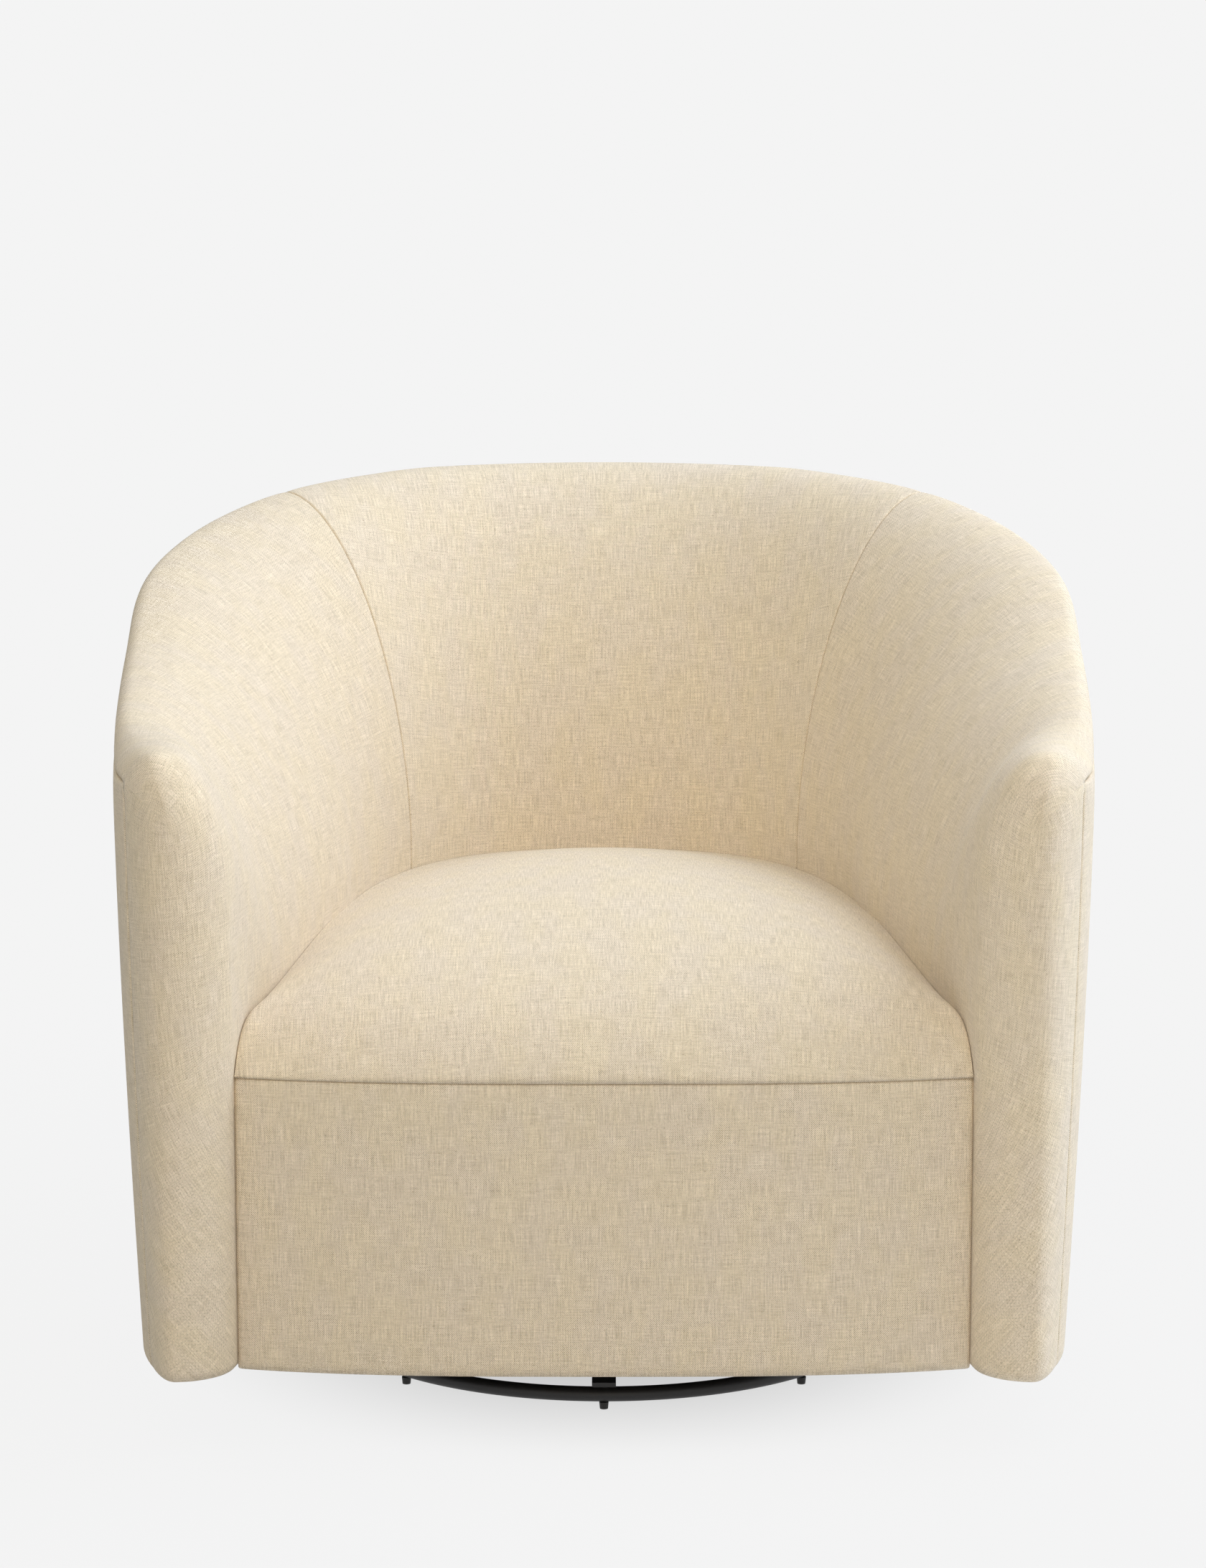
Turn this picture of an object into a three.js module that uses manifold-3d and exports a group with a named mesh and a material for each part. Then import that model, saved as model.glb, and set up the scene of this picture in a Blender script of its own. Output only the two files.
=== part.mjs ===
// An upholstered barrel armchair that turns on a ring base.
// Millimetres, +Z up, the sitter faces -Y, and the swivel axis is Z. The floor is at zero.
import * as THREE from "three";
import { mergeVertices } from "three/addons/utils/BufferGeometryUtils.js";
import Module from "manifold-3d";

const wasm = await Module();
wasm.setup();

// Clearances
const fitGap = 0.3; // between pieces that touch
const runGap = 0.6; // round a turning shaft, and over its washer
const overrun = 5; // how far a cut passes the faces that it opens

// Outside of the barrel
const barrelHalfWidth = 405.2;
const barrelBackDepth = 400; // swivel axis to the outside of the back
const sideReach = 365; // swivel axis to where the arm fronts start to round
const noseDepth = 35; // rounded part of an arm front
const sideTuck = 18.6; // the sides draw in towards the arm fronts
const underside = 71; // floor to the bottom of the upholstery
const backHeight = 722; // floor to the top of the back
const armHeight = 569; // floor to the top of an arm at its front
const noseDrop = 30; // the arm front's top falls away as it rounds
const wallLean = 17.3; // the outside draws in towards the bottom
const leanPower = 1.5;
const rimRadius = 12; // outer edge of the top
const hemRadius = 10; // bottom edge of the upholstery

// Top line of the barrel, from the middle of the back to the arm front, as shares of its path and fall
const rimPathShares = [0, 0.318, 0.531, 0.675, 0.965, 1];
const rimHeightShares = [1, 0.88, 0.588, 0.283, 0.007, 0];
const noseEndShare = 16 / 17; // of the turn round an arm front, where its flat tip lies

// Thickness of the barrel, at the height of the seat
const armThickness = 183.2; // beside the swivel axis
const armFrontThickness = 94.6; // where the arm fronts start to round
const backThickness = 150;
const wellPower = 3; // squareness of the inside back
const backRollHeight = 400; // the inside face starts to roll outwards here
const armRollHeight = 330;
const rollPower = 1.8; // fullness of that roll
const seamAngle = 47; // degrees from the back to the seams between the back and the arms

// Outside covers
const coverThickness = 6;
const seamDrop = 18; // top of the barrel to the outer seam
const hemWidth = 26; // turned in under the frame

// Wooden frame
const plyThickness = 18;
const postThickness = 22;
const postWidth = 60;
const railHeight = 44;
const topPadding = 22; // foam over the top rails
const panelHeight = 76; // floor to the underside of the bottom panel
const seatFrameTop = 290; // floor to the top of the seat hoop and the front board
const seatLedge = 28; // how far the hoop reaches in under the cushion
const middlePostPlace = 60; // in front of the swivel axis
const bearerHeight = 40;
const bearerThickness = 30;
const bearerSetback = 100; // from the outside of the back
const sheetThickness = 1; // dust cover under the bottom panel

// Inside pads and their webbing
const webThickness = 1.5;
const padThickness = 60; // at the height of the seat
const armFrontSkin = 15; // foam beside the arm front boards

// Front
const apronProud = 21; // its middle stands in front of where the arm fronts start to round
const apronBow = 22; // its ends stand back by this much
const bowPower = 3;
const boardSetback = 13; // the front boards stand behind where the arm fronts start to round
const seamHeight = 316; // floor to the seam between the apron and the seat

// Seat
const deckThickness = 8;
const crownHeight = 432; // floor to the top of the seat
const crownPlace = 100; // the crown lies this far in front of the swivel axis
const frontCreaseHeight = 354; // floor to where the seat meets the arms, near the front
const backCreaseHeight = 378; // floor to where it meets the back
const creaseRun = 40; // the crease climbs from the front seam over this length
const creasePower = 2.2;
const creaseLinePower = 0.8;
const domePower = 1.6;
const frontFullness = 0.54; // low is full
const backFullness = 1.3;
const domeShares = [1, 0.97, 0.91, 0.82, 0.68, 0.5, 0.29, 0.1];
const seatGap = 1; // between the cushion and the barrel
const sideDraw = 4; // the cushion draws in at its bottom

// Springs
const springDiameter = 4;
const springCount = 4;
const springSpace = 38; // free between two springs
const springRows = 17;
const springArch = 11;
const springSetback = 132; // from the inside of the back
const crossReach = 20; // the rail at their rear ends passes the inside of the barrel, under the hoop
const clipDepth = 12;
const clipSheet = 2;
const clipMargin = 4;
const clipSideGap = 3.5; // between the ends of the rear channel and the hoop

// Ring base
const ringRadius = 236;
const ringTube = 12.6;
const glideDiameter = 8;
const glideHeight = 5.8;
const glideCount = 8;
const spokeCount = 4;
const spokeWidth = 20;
const spokeThickness = 4;
const spokeTop = 37.7; // floor to the top of the spokes at the hub
const spokeFlatEnd = 110;
const spokeFootStart = 205;
const spokeInnerEnd = 16;

// Swivel bearing
const racePlateRadius = 75;
const racePlateThickness = 3;
const raceHeight = 8; // race above the spokes
const raceInner = 40;
const raceOuter = 60;
const grooveDepth = 1.5;
const grooveWidth = 12;
const ballDiameter = 10;
const ballCount = 10;
const ballTrackRadius = 50;
const cageThickness = 3;
const cageWidth = 16;
const panThickness = 3;
const panBottomRadius = 59;
const panTopRadius = 64;
const topPlateWidth = 170;
const pinRadius = 6;
const pinHeadRadius = 12;
const pinHeadHeight = 3.3;
const boltSpread = 70; // swivel axis to a bolt, along X and along Y
const boltDiameter = 8;
const boltHeadAcross = 13;
const boltHeadHeight = 5.5;
const boltReach = 20; // into a bearer

const quarterTurn = Math.PI / 2;
const backSpan = barrelHalfWidth * quarterTurn; // path of the back quarter
const seamPath = (backSpan * seamAngle) / 90;
const wellHalfWidth = barrelHalfWidth - armThickness;
const wellFrontHalfWidth = barrelHalfWidth - sideTuck - armFrontThickness;
const wellBackDepth = barrelBackDepth - backThickness;
const apronCentre = sideReach + apronProud; // swivel axis to the middle of the apron
const frontBoardFront = sideReach - boardSetback;
const frontBoardBack = frontBoardFront - plyThickness;
const bearerBackEnd = barrelBackDepth - bearerSetback;
const springBackEnd = wellBackDepth - springSetback;
const crossHalfWidth = wellHalfWidth + crossReach;
const boardBackPath = backSpan + frontBoardBack;
const boardPath = backSpan + frontBoardFront;
const armFrontPath = backSpan + sideReach;
const pathLength = armFrontPath + noseDepth;
const wellFlare = (wellFrontHalfWidth - wellHalfWidth) / sideReach;
const apronEnd = apronCentre - apronBow;
const deckBottom = seatFrameTop + fitGap;
const deckTop = deckBottom + deckThickness;
const frameOuter = coverThickness + fitGap; // inset of the frame from the outside
const frameInner = frameOuter + postThickness;
const webTop = railHeight + topPadding;
const cutBottom = underside - overrun;

// Stations of the wall, by their distance along its path from the middle of the back.
// Places to the right are above zero. Every piece of the wall turns its corners on these stations.
const noseTurns = [...evenly(0, quarterTurn, 4).slice(1, -1), quarterTurn * noseEndShare];
const rightPaths = [
  ...evenly(0, seamPath, 5),
  ...evenly(seamPath, backSpan, 5).slice(1),
  ...evenly(backSpan, boardPath, 3).slice(1),
  armFrontPath,
  ...noseTurns.map((turn) => armFrontPath + noseDepth * Math.sin(turn)),
];
const wallPaths = [...rightPaths.slice(1).map((path) => -path).reverse(), ...rightPaths];

const linen = material(0xdccbab, 0.95, 0);
const hessian = material(0xa98f62, 1, 0);
const cambric = material(0x1c1c1c, 1, 0);
const plywood = material(0xc9a877, 0.7, 0);
const blackSteel = material(0x2a2c2e, 0.45, 0.6);
const brightSteel = material(0x9a9c9e, 0.35, 1);
const blackPlastic = material(0x141414, 0.5, 0);

const chair = new THREE.Group();
const base = new THREE.Group();
const retainer = new THREE.Group();
const seat = new THREE.Group();
chair.add(base, retainer, seat);

function material(colour, roughness, metalness) {
  return new THREE.MeshStandardMaterial({ color: colour, roughness, metalness });
}

// Closed geometry as a solid, turned face out
function solidOf(geometry) {
  const bare = geometry.clone();
  bare.deleteAttribute("normal");
  bare.deleteAttribute("uv");
  const merged = mergeVertices(bare, 1e-4);
  const triVerts = new Uint32Array(merged.index.array);
  const mesh = { numProp: 3, vertProperties: merged.attributes.position.array, triVerts };
  const solid = new wasm.Manifold(new wasm.Mesh(mesh));
  if (solid.volume() > 0) return solid;
  for (let i = 0; i < triVerts.length; i += 3) {
    [triVerts[i + 1], triVerts[i + 2]] = [triVerts[i + 2], triVerts[i + 1]];
  }
  return new wasm.Manifold(new wasm.Mesh(mesh));
}

function addPiece(group, name, solid, finish) {
  const made = solid.getMesh();
  const geometry = new THREE.BufferGeometry();
  geometry.setAttribute("position", new THREE.BufferAttribute(made.vertProperties, 3));
  geometry.setIndex(new THREE.BufferAttribute(made.triVerts, 1));
  geometry.computeVertexNormals();
  const piece = new THREE.Mesh(geometry, finish);
  piece.name = name;
  group.add(piece);
}

// Box between two corners
function block(x0, y0, z0, x1, y1, z1) {
  const geometry = new THREE.BoxGeometry(x1 - x0, y1 - y0, z1 - z0);
  return solidOf(geometry.translate((x0 + x1) / 2, (y0 + y1) / 2, (z0 + z1) / 2));
}

// Turned solid about Z from a closed outline of [radius, height]
function turned(outline, sides) {
  const points = [...outline, outline[0]].map(([r, z]) => new THREE.Vector2(r, z));
  return solidOf(new THREE.LatheGeometry(points, sides).rotateX(quarterTurn));
}

function rod(x, y, z0, z1, radius, sides) {
  const geometry = new THREE.CylinderGeometry(radius, radius, z1 - z0, sides).rotateX(quarterTurn);
  return solidOf(geometry.translate(x, y, (z0 + z1) / 2));
}

// Flat plate from an outline of [x, y] between two heights
function plate(outline, z0, z1) {
  const shape = new THREE.Shape(outline.map(([x, y]) => new THREE.Vector2(x, y)));
  const geometry = new THREE.ExtrudeGeometry(shape, { depth: z1 - z0, bevelEnabled: false });
  return solidOf(geometry.translate(0, 0, z0));
}

function distance(a, b) {
  return Math.hypot(a[0] - b[0], a[1] - b[1], a[2] - b[2]);
}

// Solid through rings of 3-D points, with flat lids over the first and the last ring.
// A twisted face is split along its shorter diagonal, so that the two sides of a thin sheet agree.
function loft(rings, lids) {
  const count = rings[0].length;
  const points = rings.flat();
  const index = [];
  for (let i = 0; i < rings.length - 1; i++) {
    for (let j = 0; j < count; j++) {
      const a = i * count + j;
      const b = i * count + ((j + 1) % count);
      const c = b + count;
      const d = a + count;
      const short = distance(points[a], points[c]) < distance(points[b], points[d]);
      index.push(...(short ? [a, b, c, a, c, d] : [a, b, d, b, c, d]));
    }
  }
  const last = (rings.length - 1) * count;
  for (const [a, b, c] of lids[0]) index.push(c, b, a);
  for (const [a, b, c] of lids[1]) index.push(last + a, last + b, last + c);
  const geometry = new THREE.BufferGeometry();
  const places = new Float32Array(points.flat());
  geometry.setAttribute("position", new THREE.BufferAttribute(places, 3));
  geometry.setIndex(index);
  return solidOf(geometry);
}

function lidOf(outline) {
  const points = outline.map(([x, y]) => new THREE.Vector2(x, y));
  const faces = THREE.ShapeUtils.triangulateShape(points, []);
  return THREE.ShapeUtils.isClockWise(points) ? faces.map(([a, b, c]) => [a, c, b]) : faces;
}

// Smooth curve through a table that only falls, level at both ends
function falling(places, values, at) {
  const slopes = places.map((place, i) => {
    if (i === 0 || i === places.length - 1) return 0;
    const before = place - places[i - 1];
    const after = places[i + 1] - place;
    const rise = (values[i] - values[i - 1]) / before;
    const next = (values[i + 1] - values[i]) / after;
    return (3 * (before + after)) / ((2 * after + before) / rise + (after + 2 * before) / next);
  });
  const i = Math.max(0, places.findLastIndex((place, k) => place <= at && k < places.length - 1));
  const span = places[i + 1] - places[i];
  const t = (at - places[i]) / span;
  const u = 1 - t;
  return (
    values[i] * (1 + 2 * t) * u * u +
    slopes[i] * span * t * u * u +
    values[i + 1] * (1 + 2 * u) * t * t -
    slopes[i + 1] * span * u * t * t
  );
}

// Inside outline of the barrel in the direction that lies at an angle from the back
function wellRadius(angle) {
  const across = Math.sin(angle);
  const back = Math.cos(angle);
  let radius = wellBackDepth;
  for (let turn = 0; turn < 12; turn++) {
    const halfWidth = wellHalfWidth - wellFlare * radius * back;
    const sum = (across / halfWidth) ** wellPower + (back / wellBackDepth) ** wellPower;
    radius = sum ** (-1 / wellPower);
  }
  return radius;
}

function station(path) {
  const along = Math.abs(path);
  const hand = path < 0 ? -1 : 1;
  const angle = Math.min(along / backSpan, 1) * quarterTurn;
  const forward = Math.max(0, along - backSpan);
  let outer;
  let inner;
  if (forward === 0) {
    const across = Math.sin(angle);
    const back = Math.cos(angle);
    const reach = 1 / Math.hypot(across / barrelHalfWidth, back / barrelBackDepth);
    const well = wellRadius(angle);
    outer = [reach * across, reach * back];
    inner = [well * across, well * back];
  } else {
    outer = [barrelHalfWidth - sideTuck * (forward / sideReach) ** 2, -forward];
    inner = [wellHalfWidth + wellFlare * forward, -forward];
  }
  const thickness = Math.hypot(inner[0] - outer[0], inner[1] - outer[1]);
  const share = falling(rimPathShares, rimHeightShares, along / pathLength);
  const noseShare = Math.min(1, Math.max(0, forward - sideReach) / noseDepth);
  return {
    outer: [hand * outer[0], outer[1]],
    inward: [(hand * (inner[0] - outer[0])) / thickness, (inner[1] - outer[1]) / thickness],
    thickness,
    rim: armHeight + (backHeight - armHeight) * share,
    roll: backRollHeight + (armRollHeight - backRollHeight) * Math.min(1, forward / sideReach),
    closing: Math.sqrt(1 - noseShare ** 2),
  };
}

// Insets of the outside and the inside face from the outer line, at a height
function outerFace(place, z) {
  const low = Math.min(1, Math.max(0, (place.rim - z) / (place.rim - underside)));
  const turn = Math.max(0, Math.min(hemRadius, underside + hemRadius - z));
  const top = Math.max(0, Math.min(rimRadius, z - place.rim + rimRadius));
  const hem = hemRadius - Math.sqrt(hemRadius ** 2 - turn ** 2);
  const rim = rimRadius - Math.sqrt(rimRadius ** 2 - top ** 2);
  return wallLean * low ** leanPower + hem + rim;
}

function innerFace(place, z) {
  const high = Math.min(1, Math.max(0, (z - place.roll) / (place.rim - place.roll)));
  const turn = Math.max(0, Math.min(hemRadius, underside + hemRadius - z));
  const hem = hemRadius - Math.sqrt(hemRadius ** 2 - turn ** 2);
  const roll = (1 - high ** rollPower) ** (1 / rollPower);
  return rimRadius + (place.thickness - rimRadius) * roll - hem;
}

// Point of the wall at an inset and a height, drawn together where the arm front rounds
function wallPoint(place, inset, z) {
  const middle = (outerFace(place, z) + innerFace(place, z)) / 2;
  const drawn = middle + (inset - middle) * place.closing;
  const topShare = Math.min(1, Math.max(0, (z - armRollHeight) / (armHeight - armRollHeight)));
  const height = z - noseDrop * (1 - place.closing) * topShare;
  const x = place.outer[0] + place.inward[0] * drawn;
  return [x, place.outer[1] + place.inward[1] * drawn, height];
}

// Rings of 3-D points of a section, given as [inset, height] at a station, between two paths
function wallRings(from, to, section) {
  const ringAt = (path) => {
    const place = station(path);
    return section(place).map(([inset, z]) => wallPoint(place, inset, z));
  };
  const endRing = (path) => {
    const last = wallPaths.length - 2;
    const i = Math.min(last, wallPaths.findLastIndex((corner) => corner <= path));
    const share = (path - wallPaths[i]) / (wallPaths[i + 1] - wallPaths[i]);
    const next = ringAt(wallPaths[i + 1]);
    const mix = (point, k) => point.map((value, axis) => value + (next[k][axis] - value) * share);
    return ringAt(wallPaths[i]).map(mix);
  };
  const corners = wallPaths.filter((path) => path > from && path < to);
  return [endRing(from), ...corners.map(ringAt), endRing(to)];
}

// Sweep of a section along the wall
function sweep(from, to, section) {
  const lids = [from, to].map((path) => lidOf(section(station(path))));
  return loft(wallRings(from, to, section), lids);
}

function evenly(from, to, count) {
  return Array.from({ length: count + 1 }, (unused, i) => from + ((to - from) * i) / count);
}

// Whole section of the wall, from the bottom outside, over the top, to the bottom inside
function wallSection(place) {
  const hemTop = underside + hemRadius;
  const rimStart = place.rim - rimRadius;
  const hem = evenly(underside, hemTop, 3);
  const rim = evenly(0, quarterTurn, 3).slice(1, -1).map((turn) => rimStart + rimRadius * Math.sin(turn));
  const outside = [...hem, ...evenly(hemTop, rimStart, 4).slice(1), ...rim];
  const inside = [
    ...evenly(0, quarterTurn, 8).map((turn) => {
      return place.roll + (place.rim - place.roll) * Math.cos(turn) ** (2 / rollPower);
    }),
    ...hem.reverse(),
  ];
  return [
    ...outside.map((z) => [outerFace(place, z), z]),
    ...inside.map((z) => [innerFace(place, z), z]),
  ];
}

// Inset of the inner face of the top rail, where the webbing starts
function webStart(place) {
  return outerFace(place, place.rim - webTop) + frameInner + fitGap;
}

// Line of the webbing behind the pads, from the top rail down to the seat hoop
function webInset(place, z) {
  const top = place.rim - webTop;
  const low = Math.min(1, Math.max(0, (top - z) / (top - seatFrameTop)));
  const start = webStart(place);
  return start + (place.thickness - padThickness - start) * low;
}

// What a pad leaves free: the outer cover, the frame and the webbing behind it, and all below the seat deck
function hollowSection(place) {
  const web = webThickness + fitGap;
  const railTop = place.rim - topPadding + fitGap;
  const seam = place.rim - seamDrop + fitGap;
  const inside = place.thickness + 2 * overrun;
  return [
    [-overrun, cutBottom],
    [-overrun, seam],
    [frameOuter + fitGap, seam],
    [frameOuter + fitGap, railTop],
    [webStart(place) + web, railTop],
    [webStart(place) + web, place.rim - webTop],
    [webInset(place, deckBottom) + web, deckBottom],
    [inside, deckBottom],
    [inside, cutBottom],
  ];
}

// Outer cover with its hem turned in under the frame
function coverSection(place) {
  const hemTop = underside + hemRadius;
  const heights = evenly(hemTop, place.rim - seamDrop, 4);
  const hem = evenly(underside, hemTop, 3).slice(0, -1);
  const turnIn = outerFace(place, hemTop) + coverThickness;
  return [
    ...hem.map((z) => [outerFace(place, z), z]),
    ...heights.map((z) => [outerFace(place, z), z]),
    ...heights.reverse().map((z) => [outerFace(place, z) + coverThickness, z]),
    [turnIn, panelHeight - fitGap],
    [turnIn + hemWidth, panelHeight - fitGap],
    [turnIn + hemWidth, underside],
  ];
}

// Room for the front edge of the outer cover beside an arm front
function coverRoom(place) {
  const seam = place.rim - seamDrop + fitGap;
  const hemTop = underside + hemRadius;
  const turnIn = outerFace(place, hemTop) + frameOuter;
  const inside = evenly(seam, hemTop, 4).map((z) => [outerFace(place, z) + frameOuter, z]);
  const hem = [turnIn + hemWidth, panelHeight];
  return [[-overrun, cutBottom], [-overrun, seam], ...inside, [turnIn, hem[1]], hem, [hem[0], cutBottom]];
}

// Curved rail or post against the outer cover, up to a drop below the rim
function frameSection(bottom, drop) {
  return (place) => {
    const levels = evenly(bottom(place), place.rim - drop, 6);
    return [
      ...levels.map((z) => [outerFace(place, z) + frameOuter, z]),
      ...levels.reverse().map((z) => [outerFace(place, z) + frameInner, z]),
    ];
  };
}

function webSection(place) {
  const foot = webInset(place, deckBottom);
  const start = webStart(place);
  return [
    [start, place.rim - topPadding],
    [start + webThickness, place.rim - topPadding],
    [start + webThickness, place.rim - webTop],
    [foot + webThickness, deckBottom],
    [foot, deckBottom],
    [start, place.rim - webTop],
  ];
}

// Board that closes an arm front, kept inside the foam, with room round it when it is cut out
function armBoardSection(room) {
  return (place) => {
    const top = place.rim - topPadding + room;
    const levels = evenly(panelHeight - room, top, 4);
    return [
      ...levels.map((z) => [outerFace(place, z) + frameOuter - room, z]),
      ...levels.reverse().map((z) => [innerFace(place, z) - armFrontSkin + room, z]),
    ];
  };
}

// Flat outline that follows the wall at an inset, given by a function of the station
function wallOutline(from, to, inset) {
  const rings = wallRings(from, to, (place) => [[inset(place), panelHeight]]);
  return rings.map(([point]) => [point[0], point[1]]);
}

function makeWall() {
  const seamEdge = seamPath - fitGap / 2;
  const railBottom = (place) => place.rim - webTop;
  const rail = frameSection(railBottom, topPadding);
  const post = frameSection(() => panelHeight, webTop + fitGap);
  const backPad = sweep(-seamEdge, seamEdge, wallSection)
    .subtract(sweep(-seamPath - overrun, seamPath + overrun, hollowSection));
  addPiece(seat, "inside_back_pad", backPad, linen);
  addPiece(seat, "inside_back_webbing", sweep(-seamEdge, seamEdge, webSection), hessian);
  addPiece(seat, "outside_back_cover", sweep(-seamEdge, seamEdge, coverSection), linen);
  addPiece(seat, "top_rail_back", sweep(-seamEdge, seamEdge, rail), plywood);

  const noseEnd = rightPaths[rightPaths.length - 1];
  for (const [side, hand] of [["right", 1], ["left", -1]]) {
    const run = (from, to, section) => {
      return hand > 0 ? sweep(from, to, section) : sweep(-to, -from, section);
    };
    const start = seamPath + fitGap / 2;
    const railEnd = boardBackPath - fitGap;
    const pad = run(start, noseEnd, wallSection)
      .subtract(run(seamPath - overrun, boardPath + fitGap, hollowSection))
      .subtract(run(railEnd, boardPath + fitGap, armBoardSection(fitGap)))
      .subtract(run(boardPath + fitGap, armFrontPath, coverRoom));
    const middle = backSpan + middlePostPlace;
    addPiece(seat, `inside_arm_pad_${side}`, pad, linen);
    addPiece(seat, `inside_arm_webbing_${side}`, run(start, railEnd, webSection), hessian);
    const cover = run(start, armFrontPath - fitGap, coverSection);
    addPiece(seat, `outside_arm_cover_${side}`, cover, linen);
    addPiece(seat, `top_rail_${side}`, run(start, railEnd, rail), plywood);
    const rearPost = run(seamPath - postWidth / 2, seamPath + postWidth / 2, post);
    addPiece(seat, `rear_post_${side}`, rearPost, plywood);
    addPiece(seat, `middle_post_${side}`, run(middle, middle + postWidth, post), plywood);
    const board = run(boardBackPath, boardPath, armBoardSection(0));
    addPiece(seat, `arm_front_board_${side}`, board, plywood);
  }
}

// Half width of the inside at the height of the seat, at a place in front of the swivel axis
function wellHalfAt(forward) {
  return wellHalfWidth + wellFlare * forward;
}

function apronFront(x) {
  return -(apronCentre - apronBow * (Math.abs(x) / wellFrontHalfWidth) ** bowPower);
}

function boltPlaces() {
  return [[1, 1], [-1, 1], [-1, -1], [1, -1]].map(([x, y]) => [x * boltSpread, y * boltSpread]);
}

function makeSeatFrame() {
  const hoopBottom = seatFrameTop - plyThickness;
  const railEnd = boardBackPath - fitGap;
  const hoop = (place) => {
    const outer = outerFace(place, hoopBottom) + frameInner + fitGap;
    const inner = place.thickness + seatLedge;
    return [[outer, hoopBottom], [outer, seatFrameTop], [inner, seatFrameTop], [inner, hoopBottom]];
  };
  addPiece(seat, "seat_hoop", sweep(-railEnd, railEnd, hoop), plywood);

  const panelEdge = (place) => outerFace(place, panelHeight) + frameInner + fitGap;
  let panel = plate(wallOutline(-railEnd, railEnd, panelEdge), panelHeight, panelHeight + plyThickness);
  const boltHole = boltDiameter / 2 + fitGap;
  const bearerBottom = panelHeight + plyThickness + fitGap;
  const bearerTop = bearerBottom + bearerHeight;
  const bearers = [1, -1].map((hand) => {
    const x = hand * boltSpread;
    const half = bearerThickness / 2;
    return block(x - half, -frontBoardBack + fitGap, bearerBottom, x + half, bearerBackEnd, bearerTop);
  });
  for (const [x, y] of boltPlaces()) {
    const hole = rod(x, y, cutBottom, bearerBottom + boltReach + fitGap, boltHole, 10);
    panel = panel.subtract(hole);
    const i = x > 0 ? 0 : 1;
    bearers[i] = bearers[i].subtract(hole);
  }
  addPiece(seat, "bottom_panel", panel, plywood);
  addPiece(seat, "bearer_right", bearers[0], plywood);
  addPiece(seat, "bearer_left", bearers[1], plywood);

  const boardHalf = (forward) => wellHalfAt(forward) + armFrontSkin - fitGap;
  const front = [
    [-boardHalf(frontBoardFront), -frontBoardFront],
    [boardHalf(frontBoardFront), -frontBoardFront],
    [boardHalf(frontBoardBack), -frontBoardBack],
    [-boardHalf(frontBoardBack), -frontBoardBack],
  ];
  addPiece(seat, "front_board", plate(front, panelHeight, seatFrameTop), plywood);

  const crossTop = hoopBottom - fitGap;
  const cross = block(
    -crossHalfWidth, springBackEnd, crossTop - bearerHeight,
    crossHalfWidth, springBackEnd + plyThickness, crossTop,
  );
  addPiece(seat, "rear_cross_rail", cross, plywood);

  const sheetTop = panelHeight - fitGap;
  const hemEdge = (place) => {
    return outerFace(place, underside + hemRadius) + coverThickness + hemWidth + fitGap;
  };
  const hole = topPlateWidth / 2 + overrun;
  const sheet = plate(wallOutline(-boardPath, boardPath, hemEdge), sheetTop - sheetThickness, sheetTop);
  const opening = block(-hole, -hole, cutBottom, hole, hole, panelHeight);
  addPiece(seat, "dust_cover", sheet.subtract(opening), cambric);
}

// Half width between the sides of the hoop, at a place behind the swivel axis
function hoopHalfAt(y) {
  const inner = wallOutline(0, backSpan, (place) => place.thickness + seatLedge);
  const i = inner.findIndex((point) => point[1] < y);
  const [x0, y0] = inner[i - 1];
  const [x1, y1] = inner[i];
  return x0 + ((x1 - x0) * (y0 - y)) / (y0 - y1);
}

// Folded steel channel that holds the spring ends, open towards +Y or, when it is turned, -Y
function clipChannel(back, facing, length) {
  const wall = clipSheet;
  const bottom = seatFrameTop - plyThickness;
  const high = springDiameter + 2 * fitGap + 2 * wall;
  const outline = [
    [0, 0],
    [clipDepth, 0],
    [clipDepth, wall],
    [wall, wall],
    [wall, high - wall],
    [clipDepth, high - wall],
    [clipDepth, high],
    [0, high],
  ];
  const shape = new THREE.Shape(outline.map(([y, z]) => new THREE.Vector2(facing * y, z)));
  const geometry = new THREE.ExtrudeGeometry(shape, { depth: length, bevelEnabled: false });
  geometry.rotateX(quarterTurn).rotateZ(quarterTurn);
  return solidOf(geometry.translate(-length / 2, back, bottom));
}

// Sinuous wire spring: rows across the seat joined by bends, a little higher in the middle
function makeSpring(x, width) {
  const start = -frontBoardBack + fitGap + clipSheet + 2 * springDiameter;
  const end = springBackEnd + clipDepth - clipSheet - 2 * springDiameter;
  const z = seatFrameTop - plyThickness + clipSheet + fitGap + springDiameter / 2;
  const rows = evenly(start, end, springRows - 1);
  const points = rows.flatMap((y, i) => {
    const hand = i % 2 === 0 ? -1 : 1;
    const lift = springArch * Math.sin((Math.PI * i) / (springRows - 1));
    return [-hand, hand].map((turn) => new THREE.Vector3(x + (turn * width) / 2, y, z + lift));
  });
  const path = new THREE.CatmullRomCurve3(points, false, "centripetal");
  const round = new THREE.Shape();
  round.absarc(0, 0, springDiameter / 2, 0, 2 * Math.PI);
  const options = { steps: springRows * 4, extrudePath: path, curveSegments: 3 };
  return solidOf(new THREE.ExtrudeGeometry(round, options));
}

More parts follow.
